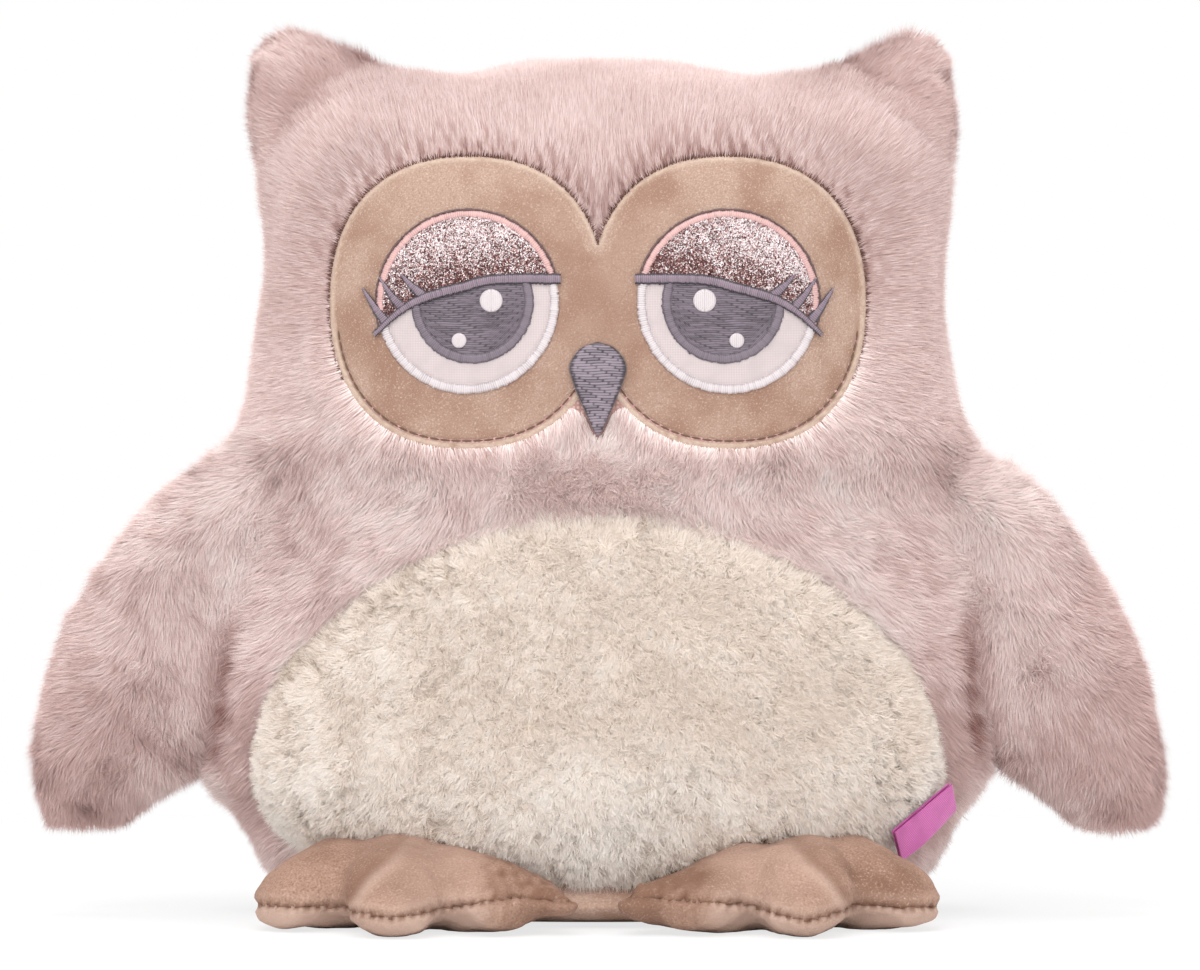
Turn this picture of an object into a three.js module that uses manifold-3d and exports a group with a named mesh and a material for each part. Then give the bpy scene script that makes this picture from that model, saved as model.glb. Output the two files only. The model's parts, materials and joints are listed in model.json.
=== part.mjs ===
// Plush owl, sitting, 25 cm tall: a stuffed fur bag with wings, ears and feet sewn on.
// Millimetres, +Z up, the face looks along -Y. The origin is on the floor, under the side seams.
// "left" is the side at -X, on the left of someone who faces the owl.

import * as THREE from 'three';
import { mergeVertices } from 'three/addons/utils/BufferGeometryUtils.js';
import Module from 'manifold-3d';

const wasm = await Module();
wasm.setup();

// The bag of the head and body, sewn from front, belly, back and base panels
const bagHeight = 242;
const bagHalfWidth = 109.5;
const bagFrontDepth = 72;
const bagBackDepth = 60;
const furCoat = 6;
const baseCloth = 1.5;
const seamGap = 0.3;

// Height, half width, front depth and back depth of the bag, floor to crown
const bagLevelShares = [
  [0, 0.64, 0.62, 0.70],
  [0.017, 0.77, 0.75, 0.82],
  [0.05, 0.86, 0.85, 0.90],
  [0.10, 0.93, 0.93, 0.96],
  [0.165, 1.0, 0.985, 1.0],
  [0.26, 0.99, 1.0, 1.0],
  [0.37, 0.965, 0.98, 0.98],
  [0.47, 0.94, 0.91, 0.94],
  [0.555, 0.92, 0.85, 0.90],
  [0.64, 0.905, 0.87, 0.91],
  [0.74, 0.885, 0.885, 0.92],
  [0.835, 0.875, 0.83, 0.88],
  [0.895, 0.85, 0.71, 0.77],
  [0.94, 0.77, 0.565, 0.62],
  [0.968, 0.655, 0.44, 0.48],
  [0.985, 0.49, 0.31, 0.34],
  [0.996, 0.28, 0.18, 0.19],
];
const bagRoundness = 2.2;
const bagSides = 24;

// Belly panel, seen from the front: an arch over a shallow bowl
const bellyHalfWidth = 95;
const bellyArchHeight = 72;
const bellyBowlDepth = 34;
const bellyWidestShare = 0.174;
const bellyArchRoundness = 1.85;
const bellyBowlRoundness = 2.6;
const bellySides = 36;

// Pouch of pellets that weighs the base down
const pouchHalfWidth = 58;
const pouchHalfDepth = 34;
const pouchHeight = 26;
const pouchFlat = 0.5;
const pouchSides = 16;
const pouchLevels = 8;

// Velour face mask: two rounded lobes that meet behind the beak
const maskHalfWidth = 38.2;
const maskHalfHeight = 40.4;
const maskLobeOffset = 36.1;
const maskRoundness = 2.3;
const maskSides = 28;
const maskCloth = 1.4;
const faceHeightShare = 0.7066;

// Eyes, about each eye's own centre
const eyeRadius = 25.1;
const eyeOffset = 36.3;
const eyeSides = 28;
const irisSides = 20;
const highlightSides = 10;
const eyeCloth = 0.8;
const whiteBorderWidth = 2.5;
const eyelidBorderWidth = 2;
const borderThread = 1.1;
const irisRadius = 16.9;
const irisRimWidth = 2.7;
const irisThread = 0.6;
const irisRimThread = 0.8;
const irisShiftShare = 0.055;
const highlightLargeRadius = 3.2;
const highlightSmallRadius = 2.05;
const highlightThread = 0.6;
const highlightLargeShares = [0.263, 0.012];
const highlightSmallShares = [-0.088, -0.42];
const lidLineWidth = 2.6;
const lidLineThread = 0.9;
const lashWidth = 1.6;
const lashTaperShare = 0.7;

// Upper edge of the lid line, outer corner to inner corner, in eye radii
const lidEdgeShares = [[-1.03, -0.30], [-0.76, -0.06], [-0.49, 0.09], [-0.06, 0.21], [0.32, 0.29], [1.02, 0.295]];
// Lashes from root to tip, in eye radii
const lashShares = {
  outer: [[-0.90, -0.16], [-1.01, -0.03], [-1.16, 0.17]],
  middle: [[-0.74, 0.0], [-0.82, 0.05], [-0.96, 0.27]],
  inner: [[-0.52, 0.13], [-0.62, 0.17], [-0.72, 0.30]],
};

// Beak, an embroidered drop
const beakHalfWidth = 7.8;
const beakLength = 25.4;
const beakTopHeightShare = 0.661;
const beakThread = 1.2;
const beakOutlineShares = [[0.62, -0.07], [1.0, -0.25], [0.86, -0.45], [0.50, -0.72], [0.14, -0.96]];

// Ribbon label on the belly seam
const labelWidth = 23;
const labelLength = 9;
const labelThickness = 1.2;
const labelOffsetShare = 0.815;
const labelHeightShare = 0.128;
const labelRunShare = 0.72;
const labelRiseShare = 0.56;

// Wings: box of each wing, then sections from shoulder to tip
const wingWidth = 62;
const wingHeight = 111.5;
const wingThickness = 32;
const wingTopShare = 0.557;
const wingSwingForward = 35;
const wingSwingBack = 25;
const wingHingeTopShare = 0.54;
const wingHingeLowShare = 0.19;
// Inner x, inner height, outer x, outer height, thickness; x runs outwards from the shoulder
const wingSectionShares = [
  [-0.06, -0.02, 0.13, -0.02, 0.40],
  [-0.08, -0.12, 0.40, -0.11, 0.74],
  [-0.065, -0.32, 0.67, -0.31, 0.92],
  [-0.01, -0.53, 0.86, -0.54, 1.0],
  [0.10, -0.74, 0.985, -0.75, 0.96],
  [0.27, -0.86, 1.0, -0.875, 0.80],
  [0.48, -0.945, 0.95, -0.955, 0.52],
];
const wingTopTipShares = [0.02, 0];
const wingLowTipShares = [0.77, -1];
const wingSides = 14;

// Ears: box of each ear, then sections from the root to the tip
const earWidth = 42;
const earHeight = 50;
const earThickness = 25;
const earSeatShare = 0.9;
const earBend = 25;
// Outer x, outer height, inner x, inner height, thickness; x runs inwards from the head's side
const earSectionShares = [
  [0.14, -0.38, 0.83, 0.08, 0.82],
  [-0.05, -0.27, 0.84, 0.28, 0.96],
  [-0.15, -0.035, 0.74, 0.41, 1.0],
  [-0.205, 0.195, 0.63, 0.525, 0.96],
  [-0.195, 0.375, 0.49, 0.60, 0.80],
  [-0.12, 0.53, 0.32, 0.645, 0.50],
];
const earTipShares = [0.105, 0.655];
const earHingeShares = [[-0.02, -0.22], [0.80, 0.33]];
const earSides = 12;

// Feet: three toes that fan out from one heel
const footHeelOffset = 55;
const footHeelReach = 32;
const footHeight = 25;
const footCloth = 1.6;
const footSeamHeight = 7.5;
const footFlat = 0.5;
const footLift = 20;
const footHingeHeight = 22;
const toeWidth = 31;
const outerToeTip = [90, 72];
const middleToeTip = [55, 97];
const innerToeTip = [22, 89];
// Distance along the toe, width and height
const toeSectionShares = [
  [0.12, 0.92, 0.96],
  [0.42, 1.02, 1.0],
  [0.76, 1.0, 0.76],
  [0.95, 0.66, 0.45],
];
const toeTipHeightShare = 0.22;
const toeSides = 10;

// Past this the cutting solids run clear of what they cut
const overrun = 20;

const quarterTurn = Math.PI / 2;
const colours = {
  pinkFur: 0xcbaaa6,
  creamFur: 0xddd2c4,
  tanVelour: 0xc0a287,
  footVelour: 0xc4a290,
  mauveThread: 0x7a6e78,
  whiteCloth: 0xede9ec,
  pinkSatin: 0xe8b3ae,
  glitterCloth: 0xb08a88,
  ribbon: 0xd765b0,
  stuffing: 0xf4f2ee,
  pouchCloth: 0xe8e4da,
};
const satinLook = ['pinkSatin', 'ribbon', 'whiteCloth', 'mauveThread'];

const owl = new THREE.Group();
owl.name = 'plush_owl';

// Closed three.js geometry to a solid that can be cut, and back to a named mesh

function signedVolume(position, index) {
  const [a, b, c] = [new THREE.Vector3(), new THREE.Vector3(), new THREE.Vector3()];
  let volume = 0;
  for (let i = 0; i < index.length; i += 3) {
    a.fromBufferAttribute(position, index[i]);
    b.fromBufferAttribute(position, index[i + 1]);
    c.fromBufferAttribute(position, index[i + 2]);
    volume += a.dot(b.cross(c)) / 6;
  }
  return volume;
}

function solidOf(geometry) {
  const bare = geometry.clone();
  bare.deleteAttribute('normal');
  bare.deleteAttribute('uv');
  const merged = mergeVertices(bare);
  const position = merged.getAttribute('position');
  const index = Uint32Array.from(merged.getIndex().array);
  if (signedVolume(position, index) < 0) index.reverse();
  const vertProperties = Float32Array.from(position.array);
  return new wasm.Manifold(new wasm.Mesh({ numProp: 3, vertProperties, triVerts: index }));
}

// Cuts at a grazing angle leave crumbs, so a piece is its largest part
function largestPart(solid) {
  const parts = solid.decompose();
  return parts.reduce((best, part) => (part.volume() > best.volume() ? part : best));
}

function addPiece(name, solid, colour) {
  const cut = largestPart(solid).getMesh();
  const geometry = new THREE.BufferGeometry();
  geometry.setAttribute('position', new THREE.BufferAttribute(cut.vertProperties, 3));
  geometry.setIndex(new THREE.BufferAttribute(cut.triVerts, 1));
  geometry.computeVertexNormals();
  const roughness = satinLook.includes(colour) ? 0.5 : 0.95;
  const material = new THREE.MeshStandardMaterial({ color: colours[colour], roughness, metalness: 0 });
  const mesh = new THREE.Mesh(geometry, material);
  mesh.name = name;
  owl.add(mesh);
}

// Forms that swell and taper: loops of points bridged in order, closed by a point at each end

function bridge(loops, start, end) {
  const points = [...loops.flat(), start, end];
  const sides = loops[0].length;
  const index = [];
  for (let level = 0; level + 1 < loops.length; level += 1) {
    for (let i = 0; i < sides; i += 1) {
      const [a, b] = [level * sides + i, level * sides + ((i + 1) % sides)];
      index.push(a, b, a + sides, b, b + sides, a + sides);
    }
  }
  const last = (loops.length - 1) * sides;
  for (let i = 0; i < sides; i += 1) {
    const next = (i + 1) % sides;
    index.push(next, i, points.length - 2, last + i, last + next, points.length - 1);
  }
  const geometry = new THREE.BufferGeometry().setFromPoints(points);
  geometry.setIndex(index);
  return geometry;
}

function roundedPower(value, roundness) {
  return Math.sign(value) * Math.abs(value) ** (2 / roundness);
}

// The bag, drawn in all round by an inset; a negative inset grows it
function bagGeometry(inset, floor) {
  const crown = bagHeight - inset;
  const loops = bagLevelShares.map(([height, width, front, back]) => {
    const loop = [];
    for (let i = 0; i < bagSides; i += 1) {
      const turn = (2 * Math.PI * i) / bagSides;
      const across = roundedPower(Math.cos(turn), bagRoundness);
      const along = roundedPower(Math.sin(turn), bagRoundness);
      const depth = along < 0 ? (bagFrontDepth - inset) * front : (bagBackDepth - inset) * back;
      const z = floor + height * (crown - floor);
      loop.push(new THREE.Vector3((bagHalfWidth - inset) * width * across, depth * along, z));
    }
    return loop;
  });
  return bridge(loops, new THREE.Vector3(0, 0, floor), new THREE.Vector3(0, 0, crown));
}

function bag(inset, floor = inset) {
  return solidOf(bagGeometry(inset, floor));
}

// Half width and front depth of the bag's surface at a height
function bagSizeAt(height) {
  const share = height / bagHeight;
  const upper = bagLevelShares.findIndex((row) => row[0] > share);
  const [low, high] = [bagLevelShares[upper - 1], bagLevelShares[upper]];
  const blend = (share - low[0]) / (high[0] - low[0]);
  return {
    halfWidth: bagHalfWidth * (low[1] + blend * (high[1] - low[1])),
    front: bagFrontDepth * (low[2] + blend * (high[2] - low[2])),
  };
}

function bagFrontPoint(x, height) {
  const { halfWidth, front } = bagSizeAt(height);
  const along = (1 - Math.abs(x / halfWidth) ** bagRoundness) ** (1 / bagRoundness);
  return new THREE.Vector3(x, -front * along, height);
}

// A layer of the bag's skin between two depths below the fur's surface
function skinLayer(outer, inner) {
  return bag(outer).subtract(bag(inner));
}

// A limb's section: an ellipse about its centre, along two directions
function sectionLoop(section, inset, sides) {
  const loop = [];
  for (let i = 0; i < sides; i += 1) {
    const turn = (2 * Math.PI * i) / sides;
    const point = section.centre.clone();
    point.addScaledVector(section.across, (section.halfAcross - inset) * Math.cos(turn));
    point.addScaledVector(section.up, (section.halfUp - inset) * Math.sin(turn));
    loop.push(point);
  }
  return loop;
}

function limb(sections, tips, inset, sides) {
  const least = inset + seamGap;
  const kept = sections.filter((section) => section.halfAcross > least && section.halfUp > least);
  const loops = kept.map((section) => sectionLoop(section, inset, sides));
  const [start, end] = inset > 0 ? [kept[0].centre, kept[kept.length - 1].centre] : tips;
  return solidOf(bridge(loops, start, end));
}

function sectionBetween(inner, outer, halfUp) {
  const span = outer.clone().sub(inner);
  return {
    centre: inner.clone().add(outer).multiplyScalar(0.5),
    across: span.clone().normalize(),
    halfAcross: span.length() / 2,
    up: new THREE.Vector3(0, 1, 0),
    halfUp,
  };
}

// Solids that cut: boxes, and outlines seen from the front that run back into the bag

function box(low, high) {
  const size = high.clone().sub(low);
  const geometry = new THREE.BoxGeometry(size.x, size.y, size.z);
  const centre = low.clone().add(high).multiplyScalar(0.5);
  return solidOf(geometry.translate(centre.x, centre.y, centre.z));
}

const far = 2 * (bagHeight + bagHalfWidth + wingWidth);
const farPoint = (x, y, z) => new THREE.Vector3(x, y, z);
const frontHalf = (from) => box(farPoint(-far, -far, -far), farPoint(far, from, far));
const backHalf = (from) => box(farPoint(-far, from, -far), farPoint(far, far, far));
const above = (height) => box(farPoint(-far, -far, height), farPoint(far, far, far));
const below = (height) => box(farPoint(-far, -far, -far), farPoint(far, far, height));

function frontPrism(points) {
  const shape = new THREE.Shape(points);
  const depth = bagFrontDepth + overrun;
  const geometry = new THREE.ExtrudeGeometry(shape, { depth, bevelEnabled: false });
  return solidOf(geometry.rotateX(quarterTurn));
}

function roundedOutline(centre, halfWidth, up, down, upRoundness, downRoundness, count) {
  const points = [];
  for (let i = 0; i < count; i += 1) {
    const turn = (2 * Math.PI * i) / count;
    const rising = Math.sin(turn) > 0;
    const roundness = rising ? upRoundness : downRoundness;
    const x = halfWidth * roundedPower(Math.cos(turn), roundness);
    const z = (rising ? up : down) * roundedPower(Math.sin(turn), roundness);
    points.push(new THREE.Vector2(centre.x + x, centre.y + z));
  }
  return points;
}

function disc(centre, radius, count) {
  return frontPrism(roundedOutline(centre, radius, radius, radius, 2, 2, count));
}

// A band of even width along a smooth line, pointed at its far end if it tapers
function bandOutline(points, width, taper) {
  const curve = new THREE.SplineCurve(points);
  const steps = 2 * (points.length - 1);
  const [left, right] = [[], []];
  for (let i = 0; i <= steps; i += 1) {
    const along = i / steps;
    const point = curve.getPoint(along);
    const tangent = curve.getTangent(along);
    const side = new THREE.Vector2(-tangent.y, tangent.x).multiplyScalar((width / 2) * (1 - taper * along));
    left.push(point.clone().add(side));
    right.unshift(point.clone().sub(side));
  }
  return [...left, ...right];
}

// Bag panels

const faceHeight = faceHeightShare * bagHeight;
const bellyCentre = new THREE.Vector2(0, bellyWidestShare * bagHeight);

function bellyPrism(grow) {
  const [up, down] = [bellyArchHeight + grow, bellyBowlDepth + grow];
  return frontPrism(roundedOutline(
    bellyCentre, bellyHalfWidth + grow, up, down, bellyArchRoundness, bellyBowlRoundness, bellySides));
}

function maskPrism(grow) {
  const lobes = [-1, 1].map((side) => {
    const centre = new THREE.Vector2(side * maskLobeOffset, faceHeight);
    const [width, height] = [maskHalfWidth + grow, maskHalfHeight + grow];
    return frontPrism(roundedOutline(centre, width, height, height, maskRoundness, maskRoundness, maskSides));
  });
  return lobes[0].add(lobes[1]);
}

function beakPrism(grow) {
  const top = beakTopHeightShare * bagHeight;
  const right = beakOutlineShares.map(([x, z]) => (
    new THREE.Vector2(x * beakHalfWidth + grow, top + z * beakLength)));
  const left = right.map((point) => new THREE.Vector2(-point.x, point.y)).reverse();
  const crown = new THREE.Vector2(0, top + grow);
  const tip = new THREE.Vector2(0, top - beakLength - grow);
  return frontPrism([crown, ...right, tip, ...left]);
}

function addBagPanels() {
  const coat = bag(0).subtract(bag(furCoat, baseCloth)).intersect(above(baseCloth + seamGap));
  const halfGap = seamGap / 2;
  const front = coat.intersect(frontHalf(-halfGap));
  const openings = bellyPrism(seamGap).add(maskPrism(seamGap)).add(beakPrism(seamGap));
  addPiece('front_fur_panel', front.subtract(openings), 'pinkFur');
  addPiece('belly_fur_panel', front.intersect(bellyPrism(0)), 'creamFur');
  const back = coat.intersect(backHalf(halfGap));
  const leftSide = box(farPoint(-far, -far, -far), farPoint(-halfGap, far, far));
  const rightSide = box(farPoint(halfGap, -far, -far), farPoint(far, far, far));
  addPiece('back_fur_panel_left', back.intersect(leftSide), 'pinkFur');
  addPiece('back_fur_panel_right', back.intersect(rightSide), 'pinkFur');
  addPiece('base_panel', bag(0).intersect(below(baseCloth)), 'footVelour');
}

function pouch(grow) {
  const floor = baseCloth + seamGap;
  const geometry = new THREE.SphereGeometry(1, pouchSides, pouchLevels);
  geometry.rotateX(quarterTurn);
  geometry.scale(pouchHalfWidth + grow, pouchHalfDepth + grow, pouchHeight / 2 + grow);
  geometry.translate(0, 0, floor + pouchHeight / 2 - pouchFlat);
  return solidOf(geometry).intersect(above(grow > 0 ? 0 : floor));
}

function addFilling() {
  const filling = bag(furCoat + seamGap, baseCloth + seamGap);
  addPiece('body_stuffing', filling.subtract(pouch(seamGap)), 'stuffing');
  addPiece('pellet_pouch', pouch(0), 'pouchCloth');
}

// Face: each layer lies on the one below it, a seam gap apart

const maskOuter = furCoat - maskCloth;
const appliqueInner = maskOuter - seamGap;
const appliqueOuter = appliqueInner - eyeCloth;
const borderOuter = appliqueInner - borderThread;
const irisInner = appliqueOuter - seamGap;
const irisOuter = irisInner - irisThread;
const highlightInner = irisOuter - seamGap;
const lidLineInner = borderOuter - seamGap;
const lidLineOuter = lidLineInner - lidLineThread;

function addFaceMask() {
  addPiece('face_mask', skinLayer(maskOuter, furCoat).intersect(maskPrism(0)), 'tanVelour');
  const patch = skinLayer(appliqueInner - beakThread, furCoat).intersect(beakPrism(0));
  const maskBelow = maskPrism(seamGap).intersect(bag(appliqueInner));
  addPiece('beak', patch.subtract(maskBelow), 'mauveThread');
}

// A place on the face from shares of the eye's radius, counted towards the nose and up
function eyePoint([inwards, up], side) {
  return new THREE.Vector2(side * (eyeOffset - inwards * eyeRadius), faceHeight + up * eyeRadius);
}

function lidPoints(side, drop) {
  return lidEdgeShares.map((shares) => eyePoint(shares, side).sub(new THREE.Vector2(0, drop)));
}

// Everything over the lid line, from a height below its upper edge
function overLid(side, drop) {
  const edge = new THREE.SplineCurve(lidPoints(side, drop)).getPoints(2 * (lidEdgeShares.length - 1));
  const reach = 2 * eyeRadius;
  const [first, last] = [edge[0], edge[edge.length - 1]];
  const outward = Math.sign(first.x - last.x);
  return frontPrism([
    new THREE.Vector2(first.x + outward * reach, first.y - reach),
    ...edge,
    new THREE.Vector2(last.x - outward * reach, last.y),
    new THREE.Vector2(last.x - outward * reach, last.y + 2 * reach),
    new THREE.Vector2(first.x + outward * reach, last.y + 2 * reach),
  ]);
}

function addEye(side, label) {
  const centre = new THREE.Vector2(side * eyeOffset, faceHeight);
  const middle = lidLineWidth / 2;
  const cloth = skinLayer(appliqueOuter, appliqueInner);
  const border = skinLayer(borderOuter, appliqueInner);
  const upper = overLid(side, middle - seamGap / 2);
  const notLower = overLid(side, middle + seamGap / 2);
  const whole = disc(centre, eyeRadius, eyeSides);

  const whiteField = disc(centre, eyeRadius - whiteBorderWidth - seamGap, eyeSides);
  addPiece(`eye_white_${label}`, cloth.intersect(whiteField).subtract(notLower), 'whiteCloth');
  const whiteRing = whole.subtract(disc(centre, eyeRadius - whiteBorderWidth, eyeSides));
  addPiece(`eye_white_border_${label}`, border.intersect(whiteRing).subtract(notLower), 'whiteCloth');

  const lidField = disc(centre, eyeRadius - eyelidBorderWidth - seamGap, eyeSides);
  addPiece(`eyelid_${label}`, cloth.intersect(lidField).intersect(upper), 'glitterCloth');
  const lidRing = whole.subtract(disc(centre, eyeRadius - eyelidBorderWidth, eyeSides));
  addPiece(`eyelid_border_${label}`, border.intersect(lidRing).intersect(upper), 'pinkSatin');

  const line = frontPrism(bandOutline(lidPoints(side, middle), lidLineWidth, 0));
  addPiece(`lid_line_${label}`, skinLayer(lidLineOuter, lidLineInner).intersect(line), 'mauveThread');
  addIris(side, label, overLid(side, lidLineWidth + seamGap));
  addLashes(side, label, overLid(side, -seamGap));
}

function addIris(side, label, hidden) {
  const centre = eyePoint([irisShiftShare, 0], side);
  const fill = disc(centre, irisRadius - irisRimWidth - seamGap, irisSides).subtract(hidden);
  const rim = disc(centre, irisRadius, irisSides).subtract(disc(centre, irisRadius - irisRimWidth, irisSides)).subtract(hidden);
  addPiece(`iris_${label}`, skinLayer(irisOuter, irisInner).intersect(fill), 'mauveThread');
  addPiece(`iris_rim_${label}`, skinLayer(irisInner - irisRimThread, irisInner).intersect(rim), 'mauveThread');
  const thread = skinLayer(highlightInner - highlightThread, highlightInner);
  const large = disc(eyePoint(highlightLargeShares, side), highlightLargeRadius, highlightSides);
  const small = disc(eyePoint(highlightSmallShares, side), highlightSmallRadius, highlightSides);
  addPiece(`eye_highlight_large_${label}`, thread.intersect(large).subtract(hidden), 'whiteCloth');
  addPiece(`eye_highlight_small_${label}`, thread.intersect(small).subtract(hidden), 'whiteCloth');
}

function addLashes(side, label, aboveLine) {
  const grownEye = disc(new THREE.Vector2(side * eyeOffset, faceHeight), eyeRadius + seamGap, eyeSides);
  const under = grownEye.intersect(bag(lidLineInner));
  for (const [name, shares] of Object.entries(lashShares)) {
    const points = shares.map((place) => eyePoint(place, side));
    const band = frontPrism(bandOutline(points, lashWidth, lashTaperShare));
    const thread = skinLayer(lidLineOuter, appliqueInner).intersect(band).intersect(aboveLine);
    addPiece(`lash_${name}_${label}`, thread.subtract(under), 'mauveThread');
  }
}

// Limbs: cut clear of the bag at rest and at each turn that their seams allow

function turned(geometry, pivot, axis, degrees) {
  const turn = new THREE.Matrix4().makeRotationAxis(axis, THREE.MathUtils.degToRad(degrees));
  const [toOrigin, back] = [new THREE.Matrix4(), new THREE.Matrix4()];
  toOrigin.makeTranslation(-pivot.x, -pivot.y, -pivot.z);
  back.makeTranslation(pivot.x, pivot.y, pivot.z);
  return geometry.clone().applyMatrix4(back.multiply(turn).multiply(toOrigin));
}

// The bag as the limb meets it: the limb turns one way, so the bag turns the other
function sweptBag(grow, hinge, range) {
  const [low, high] = range;
  const turns = [0, low / 2, low, high / 2, high].filter((degrees, i) => i === 0 || degrees !== 0);
  const bags = turns.map((degrees) => solidOf(turned(bagGeometry(-grow, -grow), hinge.pivot, hinge.axis, -degrees)));
  return bags.reduce((sum, solid) => sum.add(solid));
}

function addStuffedLimb(names, form, skin, hinge, range, split, colour) {
  const clear = sweptBag(seamGap, hinge, range);
  const inside = sweptBag(seamGap + skin, hinge, range);
  const deeper = sweptBag(2 * seamGap + skin, hinge, range);
  const cover = form(0).subtract(clear).subtract(form(skin).subtract(inside));
  addPiece(names[0], cover.intersect(split[0]), colour);
  addPiece(names[1], cover.intersect(split[1]), colour);
  addPiece(names[2], form(skin + seamGap).subtract(deeper), 'stuffing');
}

function wingHinge(side) {
  const [low, top] = [wingHingeLowShare, wingHingeTopShare].map((share) => {
    const height = share * bagHeight;
    return new THREE.Vector3(side * (bagSizeAt(height).halfWidth + seamGap), 0, height);
  });
  return { pivot: low, axis: top.clone().sub(low).normalize() };
}

function wingForm(side) {
  const shoulder = wingTopShare * bagHeight;
  const root = bagSizeAt(shoulder).halfWidth;
  const place = (x, z) => new THREE.Vector3(side * (root + x * wingWidth), 0, shoulder + z * wingHeight);
  const sections = wingSectionShares.map(([innerX, innerZ, outerX, outerZ, thickness]) => (
    sectionBetween(place(innerX, innerZ), place(outerX, outerZ), (thickness * wingThickness) / 2)));
  const tips = [place(...wingTopTipShares), place(...wingLowTipShares)];
  return (inset) => limb(sections, tips, inset, wingSides);
}

function addWing(side, label) {
  // A positive turn about the upward hinge line brings the left wing forwards and the right wing back
  const range = side < 0 ? [-wingSwingBack, wingSwingForward] : [-wingSwingForward, wingSwingBack];
  const names = [`wing_front_${label}`, `wing_back_${label}`, `wing_stuffing_${label}`];
  const split = [frontHalf(-seamGap / 2), backHalf(seamGap / 2)];
  addStuffedLimb(names, wingForm(side), furCoat, wingHinge(side), range, split, 'pinkFur');
}

function earSeat(side) {
  const height = earSeatShare * bagHeight;
  const edge = bagSizeAt(height).halfWidth;
  return (x, z) => new THREE.Vector3(side * (edge - x * earWidth), 0, height + z * earHeight);
}

function earForm(side) {
  const place = earSeat(side);
  const sections = earSectionShares.map(([outerX, outerZ, innerX, innerZ, thickness]) => (
    sectionBetween(place(innerX, innerZ), place(outerX, outerZ), (thickness * earThickness) / 2)));
  const root = sections[0].centre;
  return (inset) => limb(sections, [root, place(...earTipShares)], inset, earSides);
}

function earHinge(side) {
  const [outer, inner] = earHingeShares.map(([x, z]) => earSeat(side)(x, z));
  return { pivot: outer.clone().add(inner).multiplyScalar(0.5), axis: inner.sub(outer).normalize() };
}

function addEar(side, label) {
  const names = [`ear_front_${label}`, `ear_back_${label}`, `ear_stuffing_${label}`];
  const split = [frontHalf(-seamGap / 2), backHalf(seamGap / 2)];
  addStuffedLimb(names, earForm(side), furCoat, earHinge(side), [-earBend, earBend], split, 'pinkFur');
}

function toeForm(side, tip, inset) {
  const heel = new THREE.Vector3(side * footHeelOffset, -footHeelReach, 0);
  const end = new THREE.Vector3(side * tip[0], -tip[1], 0);
  const along = end.clone().sub(heel);
  const across = new THREE.Vector3(-along.y, along.x, 0).normalize();
  const up = new THREE.Vector3(0, 0, 1);
  const sections = toeSectionShares.map(([share, width, height]) => {
    const halfUp = (height * footHeight) / 2;
    const centre = heel.clone().addScaledVector(along, share);
    centre.z = halfUp - footFlat;
    return { centre, across, halfAcross: (width * toeWidth) / 2, up, halfUp };
  });
  end.z = toeTipHeightShare * footHeight;
  heel.z = sections[0].centre.z;
  return limb(sections, [heel, end], inset, toeSides);
}

function footForm(side) {
  return (inset) => {
    const toes = [outerToeTip, middleToeTip, innerToeTip].map((tip) => toeForm(side, tip, inset));
    return toes[0].add(toes[1]).add(toes[2]).intersect(above(inset));
  };
}

// The foot turns about a line that touches the belly over the middle toe
function footHinge(side) {
  const pivot = bagFrontPoint(side * footHeelOffset, footHingeHeight);
  const inner = bagFrontPoint(side * (footHeelOffset - toeWidth / 2), footHingeHeight);
  const outer = bagFrontPoint(side * (footHeelOffset + toeWidth / 2), footHingeHeight);
  pivot.y -= seamGap;
  return { pivot, axis: side < 0 ? outer.sub(inner).normalize() : inner.sub(outer).normalize() };
}

function addFoot(side, label) {
  const names = [`foot_top_${label}`, `foot_sole_${label}`, `foot_stuffing_${label}`];
  const split = [above(footSeamHeight + seamGap / 2), below(footSeamHeight - seamGap / 2)];
  addStuffedLimb(names, footForm(side), footCloth, footHinge(side), [0, footLift], split, 'footVelour');
}

// Ribbon label: a folded tape that lies against the fur, sewn along one edge

function labelFrame() {
  const [x, z] = [labelOffsetShare * bagHalfWidth, labelHeightShare * bagHeight];
  const root = bagFrontPoint(x, z);
  const [run, rise] = [(labelRunShare * labelWidth) / 2, (labelRiseShare * labelWidth) / 2];
  const upper = bagFrontPoint(x + run, z + rise);
  const lower = bagFrontPoint(x - run, z - rise);
  const along = upper.clone().sub(lower).normalize();
  const probe = bagFrontPoint(x, z + seamGap).sub(root);
  const normal = new THREE.Vector3().crossVectors(along, probe).normalize();
  if (normal.y > 0) normal.negate();
  const out = new THREE.Vector3().crossVectors(along, normal).normalize();
  if (out.z > 0) out.negate();
  return { root, along, normal, out };
}

function addLabel() {
  const { root, along, normal, out } = labelFrame();
  const geometry = new THREE.BoxGeometry(labelWidth, labelLength, labelThickness);
  const basis = new THREE.Matrix4().makeBasis(along, out, new THREE.Vector3().crossVectors(along, out));
  geometry.applyMatrix4(basis);
  const centre = root.clone().addScaledVector(out, labelLength / 2);
  centre.addScaledVector(normal, labelThickness / 2 + seamGap);
  geometry.translate(centre.x, centre.y, centre.z);
  addPiece('ribbon_label', solidOf(geometry).subtract(bag(-seamGap)), 'ribbon');
}

addBagPanels();
addFilling();
addFaceMask();
for (const [side, label] of [[-1, 'left'], [1, 'right']]) {
  addEye(side, label);
  addEar(side, label);
  addWing(side, label);
  addFoot(side, label);
}
addLabel();

export default owl;
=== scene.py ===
"""Looks of the plush owl: fur, velour, embroidery and stuffing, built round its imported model.

Metres, +Z up, and the face looks along -Y. "left" is the side at -X, on the left of someone who faces the
owl. The bag and the limbs are given by the surface of their fur, and an inset is a depth below that surface.
"""

from __future__ import annotations

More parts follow.
